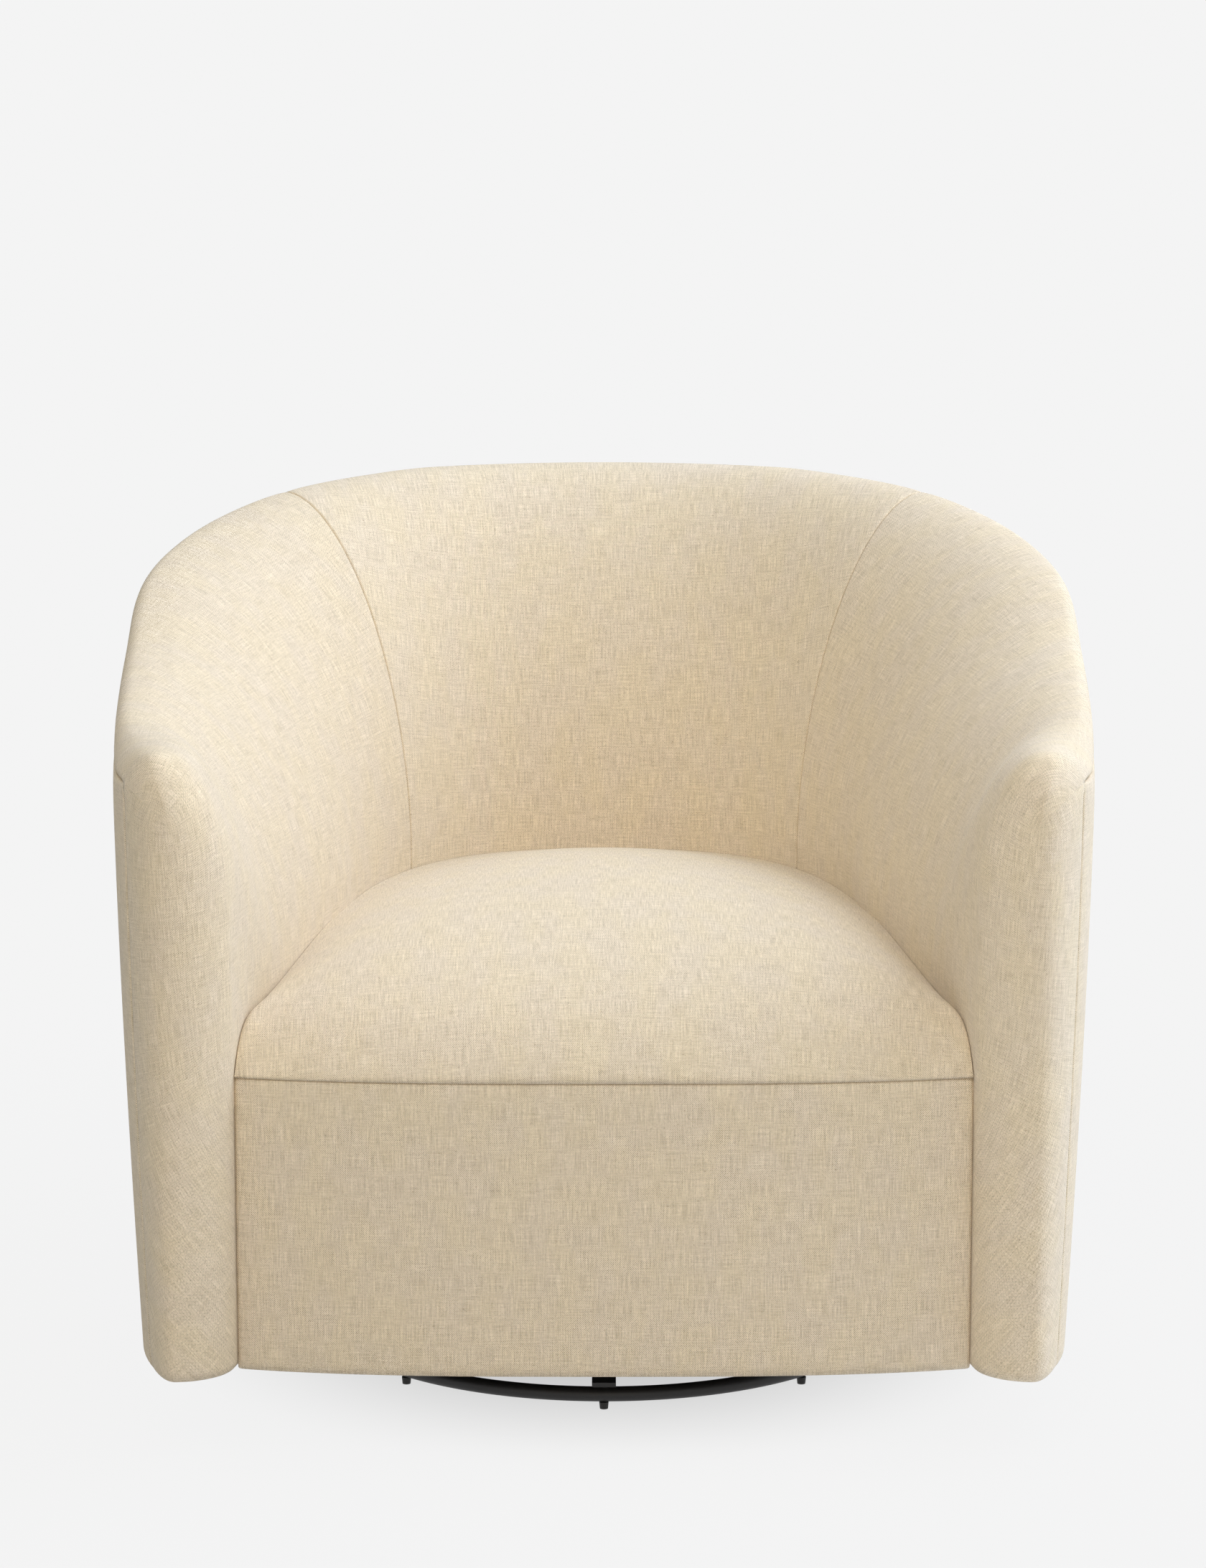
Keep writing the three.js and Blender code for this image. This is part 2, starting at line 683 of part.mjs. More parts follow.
function makeSprings() {
  const rearEnd = springBackEnd + clipDepth;
  const length = 2 * (hoopHalfAt(rearEnd) - clipSideGap);
  const width = (length - 2 * clipMargin - (springCount - 1) * springSpace) / springCount;
  const front = -frontBoardBack + fitGap;
  addPiece(seat, "front_clip_channel", clipChannel(front, 1, length), brightSteel);
  addPiece(seat, "rear_clip_channel", clipChannel(rearEnd, -1, length), brightSteel);
  for (let i = 0; i < springCount; i++) {
    const x = (i - (springCount - 1) / 2) * (width + springSpace);
    addPiece(seat, `seat_spring_${i + 1}`, makeSpring(x, width), brightSteel);
  }
}

// Outline of the cushion: round the well, then across the front along the apron
function cushionOutline(inset) {
  const end = backSpan + apronEnd;
  const round = wallOutline(-end, end, (place) => place.thickness + inset);
  const half = round[round.length - 1][0];
  const across = evenly(half, -half, 10).slice(1, -1).map((x) => [x, apronFront(x)]);
  return [...round, ...across];
}

// Height of the cushion where it meets the barrel, or the seam at its front
function cushionEdge(y) {
  const low = seamHeight + fitGap;
  const forward = Math.max(0, y + apronEnd);
  const share = (forward / (apronEnd + wellBackDepth)) ** creaseLinePower;
  const line = frontCreaseHeight + (backCreaseHeight - frontCreaseHeight) * share;
  return line - (line - low) * Math.max(0, 1 - forward / creaseRun) ** creasePower;
}

function makeSeat() {
  const deckEdge = boardPath - fitGap;
  const deck = wallOutline(-deckEdge, deckEdge, (place) => place.thickness + seatGap);
  addPiece(seat, "seat_deck", plate(deck, deckBottom, deckTop), hessian);

  const bottom = deckTop + fitGap;
  const edge = cushionOutline(seatGap);
  const narrow = cushionOutline(seatGap + sideDraw);
  const rings = [
    narrow.map(([x, y]) => [x, y, bottom]),
    edge.map(([x, y]) => [x, y, bottom + sideDraw * 2]),
  ];
  for (const share of domeShares) {
    const ring = edge.map(([x, y]) => {
      const forward = (1 + (y + crownPlace) / Math.hypot(x, y + crownPlace)) / 2;
      const fullness = frontFullness + (backFullness - frontFullness) * forward;
      const rise = (1 - share ** domePower) ** fullness;
      const low = cushionEdge(y);
      const py = -crownPlace + (y + crownPlace) * share;
      return [x * share, py, low + (crownHeight - low) * rise];
    });
    rings.push(ring);
  }
  const lids = [lidOf(rings[0]), lidOf(rings[rings.length - 1])];
  const lowFront = block(
    -barrelHalfWidth, -apronCentre - overrun, cutBottom,
    barrelHalfWidth, -frontBoardFront, seamHeight + fitGap,
  );
  addPiece(seat, "seat_cushion", loft(rings, lids).subtract(lowFront), linen);

  const apronBack = -frontBoardFront - fitGap;
  const endHalf = (y) => wellHalfAt(-y) - fitGap;
  const outline = (inset) => {
    const half = endHalf(-apronEnd);
    const across = evenly(-half, half, 12).map((x) => [x, apronFront(x) + inset]);
    return [...across, [endHalf(apronBack), apronBack], [-endHalf(apronBack), apronBack]];
  };
  const apron = [
    [hemRadius / 2, underside],
    [hemRadius / 8, underside + hemRadius / 2],
    [0, underside + hemRadius],
    [0, seamHeight],
  ].map(([inset, z]) => outline(inset).map(([x, y]) => [x, y, z]));
  addPiece(seat, "front_apron", loft(apron, [lidOf(apron[0]), lidOf(apron[3])]), linen);
}

// Ring of tube on its glides, with four flat spokes that rise to the hub
function makeRingBase() {
  const ringHeight = glideHeight + fitGap + ringTube / 2;
  const ring = new THREE.TorusGeometry(ringRadius, ringTube / 2, 8, 48);
  addPiece(base, "base_ring", solidOf(ring.translate(0, 0, ringHeight)), blackSteel);
  for (let i = 0; i < glideCount; i++) {
    const turn = (i * 2 * Math.PI) / glideCount - quarterTurn;
    const x = ringRadius * Math.cos(turn);
    const y = ringRadius * Math.sin(turn);
    addPiece(base, `glide_${i + 1}`, rod(x, y, 0, glideHeight, glideDiameter / 2, 12), blackPlastic);
  }
  const footBottom = ringHeight + ringTube / 2 + fitGap;
  const side = [
    [spokeInnerEnd, spokeTop - spokeThickness],
    [spokeFlatEnd, spokeTop - spokeThickness],
    [spokeFootStart, footBottom],
    [ringRadius + ringTube / 4, footBottom],
    [ringRadius + ringTube / 4, footBottom + spokeThickness],
    [spokeFootStart, footBottom + spokeThickness],
    [spokeFlatEnd, spokeTop],
    [spokeInnerEnd, spokeTop],
  ];
  const names = ["front", "right", "back", "left"];
  for (let i = 0; i < spokeCount; i++) {
    const shape = new THREE.Shape(side.map(([r, z]) => new THREE.Vector2(r, z)));
    const spoke = new THREE.ExtrudeGeometry(shape, { depth: spokeWidth, bevelEnabled: false });
    spoke.translate(0, 0, -spokeWidth / 2).rotateX(quarterTurn);
    spoke.rotateZ((i * 2 * Math.PI) / spokeCount - quarterTurn);
    addPiece(base, `spoke_${names[i]}`, solidOf(spoke), blackSteel);
  }
}

function makeBearing() {
  const plateBottom = spokeTop + fitGap;
  const plateTop = plateBottom + racePlateThickness;
  const raceTop = plateBottom + raceHeight;
  const groove = raceTop - grooveDepth;
  const pinHole = pinRadius + fitGap;
  const lower = turned([
    [pinHole, plateBottom],
    [racePlateRadius, plateBottom],
    [racePlateRadius, plateTop],
    [raceOuter, plateTop],
    [raceOuter, raceTop],
    [ballTrackRadius + grooveWidth / 2, raceTop],
    [ballTrackRadius + grooveWidth / 3, groove],
    [ballTrackRadius - grooveWidth / 3, groove],
    [ballTrackRadius - grooveWidth / 2, raceTop],
    [raceInner, raceTop],
    [raceInner, plateTop],
    [pinHole, plateTop],
  ], 32);
  addPiece(base, "lower_race_plate", lower, blackSteel);

  const ballHeight = groove + fitGap + ballDiameter / 2;
  let cage = turned([
    [ballTrackRadius - cageWidth / 2, ballHeight - cageThickness / 2],
    [ballTrackRadius + cageWidth / 2, ballHeight - cageThickness / 2],
    [ballTrackRadius + cageWidth / 2, ballHeight + cageThickness / 2],
    [ballTrackRadius - cageWidth / 2, ballHeight + cageThickness / 2],
  ], 40);
  for (let i = 0; i < ballCount; i++) {
    const turn = (i * 2 * Math.PI) / ballCount;
    const ball = new THREE.SphereGeometry(ballDiameter / 2, 8, 5).rotateX(quarterTurn);
    const x = ballTrackRadius * Math.cos(turn);
    const y = ballTrackRadius * Math.sin(turn);
    cage = cage.add(solidOf(ball.translate(x, y, ballHeight)));
  }
  addPiece(retainer, "ball_retainer", cage, brightSteel);

  const panBottom = ballHeight + ballDiameter / 2 + fitGap;
  const panFloor = panBottom + panThickness;
  const squareTop = panelHeight - fitGap;
  const squareBottom = squareTop - panThickness;
  const panTop = squareBottom + panThickness / 2;
  const pan = turned([
    [pinRadius + runGap, panBottom],
    [panBottomRadius, panBottom],
    [panTopRadius, panTop],
    [panTopRadius - panThickness, panTop],
    [panBottomRadius - panThickness, panFloor],
    [pinRadius + runGap, panFloor],
  ], 32);
  const half = topPlateWidth / 2;
  let square = block(-half, -half, squareBottom, half, half, squareTop)
    .subtract(rod(0, 0, cutBottom, panelHeight, panTopRadius - panThickness / 2, 32))
    .add(pan);
  for (const [x, y] of boltPlaces()) {
    square = square.subtract(rod(x, y, cutBottom, panelHeight, boltDiameter / 2 + fitGap, 10));
  }
  addPiece(seat, "top_swivel_plate", square, blackSteel);

  const pinTop = panFloor + runGap + pinHeadHeight;
  const pinBottom = plateBottom - fitGap - pinHeadHeight;
  const pin = turned([
    [0, pinBottom],
    [pinHeadRadius, pinBottom],
    [pinHeadRadius, plateBottom - fitGap],
    [pinRadius, plateBottom - fitGap],
    [pinRadius, panFloor + runGap],
    [pinHeadRadius, panFloor + runGap],
    [pinHeadRadius, pinTop],
    [0, pinTop],
  ], 24);
  addPiece(base, "king_pin", pin, brightSteel);

  const headTop = squareBottom - fitGap;
  const boltTop = panelHeight + plyThickness + fitGap + boltReach;
  boltPlaces().forEach(([x, y], i) => {
    const headRadius = boltHeadAcross / Math.sqrt(3);
    const shank = rod(x, y, headTop - boltHeadHeight / 2, boltTop, boltDiameter / 2, 10);
    const head = rod(x, y, headTop - boltHeadHeight, headTop, headRadius, 6);
    addPiece(seat, `swivel_bolt_${i + 1}`, head.add(shank), brightSteel);
  });
}

makeWall();
makeSeatFrame();
makeSprings();
makeSeat();
makeRingBase();
makeBearing();

export default chair;
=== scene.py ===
import math
from types import SimpleNamespace

import bpy
import numpy as np
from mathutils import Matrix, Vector


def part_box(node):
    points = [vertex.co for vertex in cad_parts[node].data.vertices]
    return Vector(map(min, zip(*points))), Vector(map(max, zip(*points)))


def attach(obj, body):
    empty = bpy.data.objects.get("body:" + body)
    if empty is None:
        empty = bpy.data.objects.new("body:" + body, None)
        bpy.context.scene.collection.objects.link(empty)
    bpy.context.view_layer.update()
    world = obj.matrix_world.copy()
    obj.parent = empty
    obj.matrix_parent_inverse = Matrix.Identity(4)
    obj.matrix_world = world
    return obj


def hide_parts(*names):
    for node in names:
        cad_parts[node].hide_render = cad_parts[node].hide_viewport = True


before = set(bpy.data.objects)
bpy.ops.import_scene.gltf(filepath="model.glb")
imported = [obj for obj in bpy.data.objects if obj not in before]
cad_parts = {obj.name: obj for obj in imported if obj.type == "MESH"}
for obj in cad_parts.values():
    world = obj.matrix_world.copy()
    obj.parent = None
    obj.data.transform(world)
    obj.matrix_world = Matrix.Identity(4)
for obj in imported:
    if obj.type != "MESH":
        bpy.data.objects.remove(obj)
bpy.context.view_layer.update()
print("frame loaded:", len(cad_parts), "nodes")

mm = 0.001
quarterTurn = math.pi / 2

# Wall of the barrel: outside line, top line, and the well that the sitter sits in
barrel = {
    "halfWidth": 405.2 * mm,
    "backDepth": 400 * mm,
    "sideReach": 365 * mm,
    "noseDepth": 35 * mm,
    "sideTuck": 18.6 * mm,
    "underside": 71 * mm,
    "armHeight": 569 * mm,
    "noseDrop": 30 * mm,
    "dropFrom": 450 * mm,
    "dropPower": 1.3,
    "outerNose": 80 * mm,
    "outerSkin": 18 * mm,
    "puffHeight": 10 * mm,
    "puffFrom": 500 * mm,
    "lean": 17.3 * mm,
    "leanPower": 1.5,
    "rimRadius": 12 * mm,
    "noseRimRadius": 26 * mm,
    "hemRadius": 10 * mm,
    "rimShares": [0, 0.162, 0.235, 0.315, 0.411, 0.48, 0.55, 0.675, 0.965, 1],
    "rimHeights": [717.2, 716.7, 712.8, 706, 690.6, 676.2, 659.3, 615, 570.1, 569],
    "wellHalfWidth": 222 * mm,
    "wellFrontHalfWidth": 295 * mm,
    "wellBackDepth": 250 * mm,
    "wellPower": 3,
    "wellTurns": 12,
    "backRoll": 400 * mm,
    "armRoll": 330 * mm,
    "rollPower": 1.8,
    "noseRoll": 450 * mm,
    "noseRollPower": 2.5,
    "noseRollRun": 165 * mm,
    "seamAngle": 47,
    "seamDrop": 18 * mm,
}
# Frame, padding and cloth of the wall and the seat
carcass = {
    "gap": 0.3 * mm,
    "frameOuter": 6.3 * mm,
    "frameInner": 28.3 * mm,
    "railShares": [0, 0.318, 0.531, 0.675, 0.965, 1],
    "railHeights": [722, 703.6, 659, 612.3, 570.1, 569],
    "seatFrameTop": 290 * mm,
    "deckBottom": 290.3 * mm,
    "deckTop": 298.3 * mm,
    "topPadding": 22 * mm,
    "webTop": 66 * mm,
    "webThickness": 1.5 * mm,
    "padThickness": 60 * mm,
    "boardFront": 352 * mm,
    "boardBack": 334 * mm,
    "boardSkin": 15 * mm,
    "hemWidth": 26 * mm,
    "coverThickness": 5.6 * mm,
}
# Soft edges of the covers, and the finer mesh beside their seams
seam = {
    "softDepth": 0.8 * mm,
    "softReach": 11 * mm,
    "cornerRun": 16 * mm,
    "run": 15 * mm,
    "runPower": 1.7,
    "runPoints": 11,
}

backSpan = barrel["halfWidth"] * quarterTurn
seamPath = backSpan * barrel["seamAngle"] / 90
armFrontPath = backSpan + barrel["sideReach"]
pathLength = armFrontPath + barrel["noseDepth"]
wellFlare = (barrel["wellFrontHalfWidth"] - barrel["wellHalfWidth"]) / barrel["sideReach"]
hemTop = barrel["underside"] + barrel["hemRadius"]
farAway = 9  # metres, beyond every seam
sharpAngle = 0.7  # radians


def blend(start, end, share):
    return start + (end - start) * share


def smooth(share):
    share = np.clip(share, 0, 1)
    return share * share * (3 - 2 * share)


# Smooth curve through a table that only falls, level at both ends
def falling(marks, values, at):
    marks, values = np.array(marks, float), np.array(values, float)
    gaps = np.diff(marks)
    rises = np.diff(values) / gaps
    before, after = gaps[:-1], gaps[1:]
    slopes = np.zeros(len(marks))
    slopes[1:-1] = 3 * (before + after) / (
        (2 * after + before) / rises[:-1] + (after + 2 * before) / rises[1:]
    )
    i = np.clip(np.searchsorted(marks, at, side="right") - 1, 0, len(gaps) - 1)
    t = (at - marks[i]) / gaps[i]
    u = 1 - t
    start = values[i] * (1 + 2 * t) + slopes[i] * gaps[i] * t
    end = values[i + 1] * (1 + 2 * u) - slopes[i + 1] * gaps[i] * u
    return start * u * u + end * t * t


def wellRadius(angle):
    across, back = np.sin(angle), np.cos(angle)
    depth, power = barrel["wellBackDepth"], barrel["wellPower"]
    radius = np.full(np.shape(angle), depth)
    for _ in range(barrel["wellTurns"]):
        halfWidth = barrel["wellHalfWidth"] - wellFlare * radius * back
        radius = ((across / halfWidth) ** power + (back / depth) ** power) ** (-1 / power)
    return radius


# The wall at places along its path, which runs from the middle of the back to an arm front
def station(path):
    path = np.atleast_1d(np.asarray(path, float))[:, None]
    along = np.abs(path)
    hand = np.where(path < 0, -1.0, 1.0)
    angle = np.minimum(along / backSpan, 1) * quarterTurn
    forward = np.maximum(0, along - backSpan)
    onSide = forward > 0
    across, back = np.sin(angle), np.cos(angle)
    reach = 1 / np.hypot(across / barrel["halfWidth"], back / barrel["backDepth"])
    well = wellRadius(angle)
    tuck = barrel["sideTuck"] * (forward / barrel["sideReach"]) ** 2
    outerX = np.where(onSide, barrel["halfWidth"] - tuck, reach * across)
    outerY = np.where(onSide, -forward, reach * back)
    innerX = np.where(onSide, barrel["wellHalfWidth"] + wellFlare * forward, well * across)
    innerY = np.where(onSide, -forward, well * back)
    thickness = np.hypot(innerX - outerX, innerY - outerY)
    share = along / pathLength
    noseShare = np.clip((forward - barrel["sideReach"]) / barrel["noseDepth"], 0, 1)
    noseEnd = barrel["sideReach"] + barrel["noseDepth"]
    outerShare = np.clip((forward - noseEnd) / barrel["outerNose"] + 1, 0, 1)
    roll = np.interp(forward, [0, barrel["sideReach"]], [barrel["backRoll"], barrel["armRoll"]])
    fuller = smooth((forward - barrel["sideReach"]) / barrel["noseRollRun"] + 1)
    return SimpleNamespace(
        outerX=hand * outerX,
        outerY=outerY,
        inwardX=hand * (innerX - outerX) / thickness,
        inwardY=(innerY - outerY) / thickness,
        thickness=thickness,
        rim=falling(barrel["rimShares"], barrel["rimHeights"], share) * mm,
        railLine=falling(carcass["railShares"], carcass["railHeights"], share) * mm,
        roll=blend(roll, barrel["noseRoll"], fuller),
        rollPower=blend(barrel["rollPower"], barrel["noseRollPower"], fuller),
        rimRadius=blend(barrel["rimRadius"], barrel["noseRimRadius"], fuller),
        noseShare=noseShare,
        closing=np.sqrt(1 - noseShare ** 2),
        outerClosing=np.sqrt(1 - outerShare ** 2),
        puff=barrel["puffHeight"] * fuller * (1 - noseShare ** 2),
    )


def hemInset(z):
    radius = barrel["hemRadius"]
    turn = np.clip(hemTop - z, 0, radius)
    return radius - np.sqrt(radius ** 2 - turn ** 2)


def outerFace(place, z):
    low = np.clip((place.rim - z) / (place.rim - barrel["underside"]), 0, 1)
    radius = place.rimRadius
    top = np.clip(z - place.rim + radius, 0, radius)
    rounding = radius - np.sqrt(radius ** 2 - top ** 2)
    return barrel["lean"] * low ** barrel["leanPower"] + hemInset(z) + rounding


def innerFace(place, z):
    high = np.clip((z - place.roll) / (place.rim - place.roll), 0, 1)
    bulge = (1 - high ** place.rollPower) ** (1 / place.rollPower)
    return blend(place.rimRadius, place.thickness, bulge) - hemInset(z)


# Points of the wall at insets from its outer line and at heights, drawn together where the arm front rounds
def wallPoints(place, inset, z):
    half = place.thickness / 2
    outerness = smooth((half - inset) / (half - barrel["outerSkin"]))
    drawn = blend(half, inset, blend(place.closing, place.outerClosing, outerness))
    topShare = np.clip((z - barrel["dropFrom"]) / (barrel["armHeight"] - barrel["dropFrom"]), 0, 1)
    drop = barrel["noseDrop"] * (1 - place.closing) * topShare ** barrel["dropPower"]
    puff = place.puff * np.sin(math.pi * np.clip(inset / place.thickness, 0, 1))
    puff = puff * smooth((z - barrel["puffFrom"]) / (barrel["armHeight"] - barrel["puffFrom"]))
    x = place.outerX + place.inwardX * drawn
    y = place.outerY + place.inwardY * drawn + hemInset(z) * place.noseShare
    return pointsOf(x, y, z - drop + puff)


# How far a cover sinks beside a seam, at a distance from it
def softDip(distance, radius, depth, reach):
    turn = np.clip(radius - distance, 0, radius)
    rounding = radius - np.sqrt(np.maximum(radius ** 2 - turn ** 2, 0))
    return rounding + depth * np.exp(-np.clip(distance, 0, None) / reach)


# The same on the wall, where the dip runs out towards a corner
def seamDip(distance, radius, corner):
    dip = softDip(distance, radius, seam["softDepth"], seam["softReach"])
    return dip * smooth(corner / seam["cornerRun"])


# Grid normals, turned so that the one at a place of the grid points a given way
def gridNormals(grid, at, towards):
    normal = np.cross(np.gradient(grid, axis=0), np.gradient(grid, axis=1))
    normal /= np.maximum(np.linalg.norm(normal, axis=-1, keepdims=True), 1e-12)
    return normal if normal[at] @ towards > 0 else -normal


def pointsOf(*parts):
    return np.stack(np.broadcast_arrays(*parts), -1)


# Points over a flat grid, at heights
def raised(flat, z):
    return pointsOf(flat[..., 0], flat[..., 1], z)


def runLengths(grid, axis):
    first = np.take(grid, [0], axis=axis)
    return np.linalg.norm(np.diff(grid, axis=axis, prepend=first), axis=-1).cumsum(axis)


def gridFaces(rows, columns, closed=False):
    index = np.arange(rows * columns).reshape(rows, columns)
    if closed:
        index = np.concatenate([index, index[:, :1]], 1)
    corners = [index[:-1, :-1], index[1:, :-1], index[1:, 1:], index[:-1, 1:]]
    return np.stack(corners, -1).reshape(-1, 4).tolist()


def addObject(name, data):
    added = bpy.data.objects.new(name, data)
    bpy.context.scene.collection.objects.link(added)
    return added


def selectOnly(*pieces):
    bpy.ops.object.select_all(action="DESELECT")
    for piece in pieces:
        piece.select_set(True)
    bpy.context.view_layer.objects.active = pieces[0]


def makeObject(name, points, faces):
    mesh = bpy.data.meshes.new(name)
    mesh.from_pydata(points.tolist(), [], faces)
    mesh.validate()
    mesh.shade_smooth()
    piece = addObject(name, mesh)
    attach(piece, "seat")
    return piece


# One value of every vertex, edge, face or corner of a mesh
def readAll(items, name, width=1, kind=float):
    found = np.zeros(len(items) * width, kind)
    items.foreach_get(name, found)
    return found.reshape(-1, width) if width > 1 else found


# The piece's threads: a place on the flat cloth, in metres, for each vertex
def setThreads(piece, cloth, faces=None):
    corners = np.concatenate(faces) if faces else readAll(piece.data.loops, "vertex_index", kind=int)
    layer = piece.data.uv_layers.new(name="cloth")
    layer.data.foreach_set("uv", np.asarray(cloth, np.float32)[corners].ravel())


# Turns a mesh's faces outwards, judged by its volume
def faceOut(piece):
    mesh = piece.data
    mesh.calc_loop_triangles()
    corners = readAll(mesh.loop_triangles, "vertices", 3, int)
    a, b, c = readAll(mesh.vertices, "co", 3)[corners].transpose(1, 0, 2)
    if (a * np.cross(b, c)).sum() < 0:
        mesh.flip_normals()
    return piece


# A thin or padded sheet between a front grid and a back grid of points
def sheetOf(name, front, back, cloth, closed=False):
    rows, columns = front.shape[:2]
    size = rows * columns
    index = np.arange(size).reshape(rows, columns)
    edges = [index[0], index[-1, ::-1]]
    if not closed:
        edges = [np.concatenate([index[0, :-1], index[:-1, -1], index[-1, :0:-1], index[:0:-1, 0]])]
    faces = gridFaces(rows, columns, closed)
    faces += [[size + v for v in reversed(face)] for face in faces]
    for edge in edges:
        after = np.roll(edge, -1)
        faces += np.stack([edge, after, after + size, edge + size], -1).tolist()
    points = np.concatenate([front.reshape(-1, 3), back.reshape(-1, 3)])
    piece = faceOut(makeObject(name, points, faces))
    setThreads(piece, np.tile(cloth.reshape(-1, 2), (2, 1)))
    return piece


def dress(piece, finish, slot, *nodes):
    piece.data.materials.clear()
    piece.data.materials.append(finish)
    if nodes:
        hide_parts(*nodes)


def nearSeam(count):
    return seam["run"] * np.linspace(0, 1, count) ** seam["runPower"]


# Places along a run, close together beside its seams
def places(start, end, spacing, seams=(True, True)):
    near = nearSeam(seam["runPoints"])
    first, last = start + near[-1] * seams[0], end - near[-1] * seams[1]
    middle = np.linspace(first, last, max(2, round((last - first) / spacing) + 1))
    head = start + near[:-1] if seams[0] else []
    tail = end - near[-2::-1] if seams[1] else []
    return np.concatenate([head, middle, tail])


# Joins vertices that share a place, and leaves out the faces that this empties
def weld(points, faces, moved):
    _, first, inverse = np.unique(np.round(points, 7), axis=0, return_index=True, return_inverse=True)
    inverse = inverse.ravel()
    kept = []
    for face in faces:
        corners = [int(inverse[v]) for v in face]
        corners = [v for i, v in enumerate(corners) if v != corners[i - 1]]
        kept.append(corners if len(set(corners)) == len(corners) > 2 else None)
    return moved[first], kept, inverse


# Padding of the back and the arms: steps round a ring of its mesh, and the fold beside the cushion
pad = {
    "rimSteps": 12,
    "easeSteps": 24,
    "insideSteps": 84,
    "straightSteps": 15,
    "hemSteps": 11,
    "bottomSteps": 8,
    "boardSteps": 5,
    "skirtSteps": 4,
    "noseSteps": 22,
    "spacing": 5.5 * mm,
    "seamRadius": 2.4 * mm,
    "backSeamRadius": 1.6 * mm,
    "foldPath": backSpan + 19 * mm,
    "foldWidth": 34 * mm,
    "foldHeight": 130 * mm,
    "foldDepth": 3 * mm,
    "threadRow": 40,
    "threadLow": 70,
    "armThreadHigh": 40,
    "backThreadHigh": 20,
}
padLow = pad["straightSteps"] + pad["hemSteps"]
padTurn = pad["insideSteps"] + 1
padBottom = padTurn + padLow
padOutside = padBottom + pad["bottomSteps"]
padBehind = padOutside + padLow
padTop = padBehind + padTurn - pad["rimSteps"]
padRound = padTop + pad["rimSteps"]


# Heights of a pad's ring, close together over the rim and then even down to the seat deck
def padLevels(place):
    k = np.arange(padTurn)
    ease = pad["easeSteps"]
    drop = barrel["seamDrop"] * (np.minimum(k, ease) / pad["rimSteps"]) ** 2
    rest = np.clip(k - ease, 0, None) / (pad["insideSteps"] - ease)
    return place.rim - drop - (place.rim - drop[-1] - carcass["deckBottom"]) * rest


def hemLevels(steps):
    return hemTop - barrel["hemRadius"] * np.sin(np.linspace(0, quarterTurn, steps + 1)[1:])


def lowLevels(place):
    straight = np.linspace(carcass["deckBottom"], hemTop, pad["straightSteps"] + 1)[1:]
    return np.concatenate([straight, hemLevels(pad["hemSteps"])])[None] + 0 * place.rim


def webLine(place, z):
    top = place.railLine - carcass["webTop"]
    start = outerFace(place, top) + carcass["frameInner"] + carcass["gap"]
    foot = place.thickness - carcass["padThickness"]
    share = np.clip((top - z) / (top - carcass["seatFrameTop"]), 0, None)
    return blend(start, foot, share) + carcass["webThickness"] + carcass["gap"]


# One ring of points for each place: down the inside, along the bottom, and up behind or outside
def padRings(place, style):
    z, low = padLevels(place), lowLevels(place)
    rimSteps, gap = pad["rimSteps"], carcass["gap"]
    inside = innerFace(place, z)
    overZ = z[:, rimSteps:0:-1]
    over = outerFace(place, overZ)
    covered = carcass["frameOuter"] + gap
    behindZ = z[:, :rimSteps - 1:-1].copy()
    if style in ("skirt", "nose"):
        tuck = covered if style == "skirt" else 0
        if style == "nose":
            behindZ[:, -1] = (behindZ[:, -1] + behindZ[:, -2]) / 2
            behindZ[-1, -1] = behindZ[-1, -2]
        lowInside = innerFace(place, low)
        lowOutside = outerFace(place, low[:, ::-1]) + tuck
        share = np.linspace(0, 1, pad["bottomSteps"] + 2)[None, 1:-1]
        bottom = blend(lowInside[:, -1:], lowOutside[:, :1], share)
        behind = outerFace(place, behindZ) + tuck
        insets = [inside, lowInside, bottom, lowOutside, behind, over]
        heights = [z, low, barrel["underside"] + 0 * bottom, low[:, ::-1], behindZ, overZ]
    else:
        behind = webLine(place, behindZ)
        foot = webLine(place, carcass["deckBottom"])
        if style == "board":
            room = gap - carcass["boardSkin"]
            behind = np.maximum(behind, innerFace(place, behindZ) + room)
            foot = np.maximum(foot, place.thickness + room)
        behindZ[:, -3:-1] = place.railLine - carcass["topPadding"] + gap
        behind[:, -3:-2] = np.maximum(behind[:, -4:-3], covered)
        behind[:, -2:] = np.maximum(covered, over[:, :1] + gap)
        share = np.linspace(0, 1, padBehind - padTurn + 1)[None, 1:]
        under = blend(inside[:, -1:], foot, share)
        insets = [inside, under, behind, over]
        heights = [z, carcass["deckBottom"] + 0 * under, behindZ, overZ]
    return wallPoints(place, np.concatenate(insets, 1), np.concatenate(heights, 1))


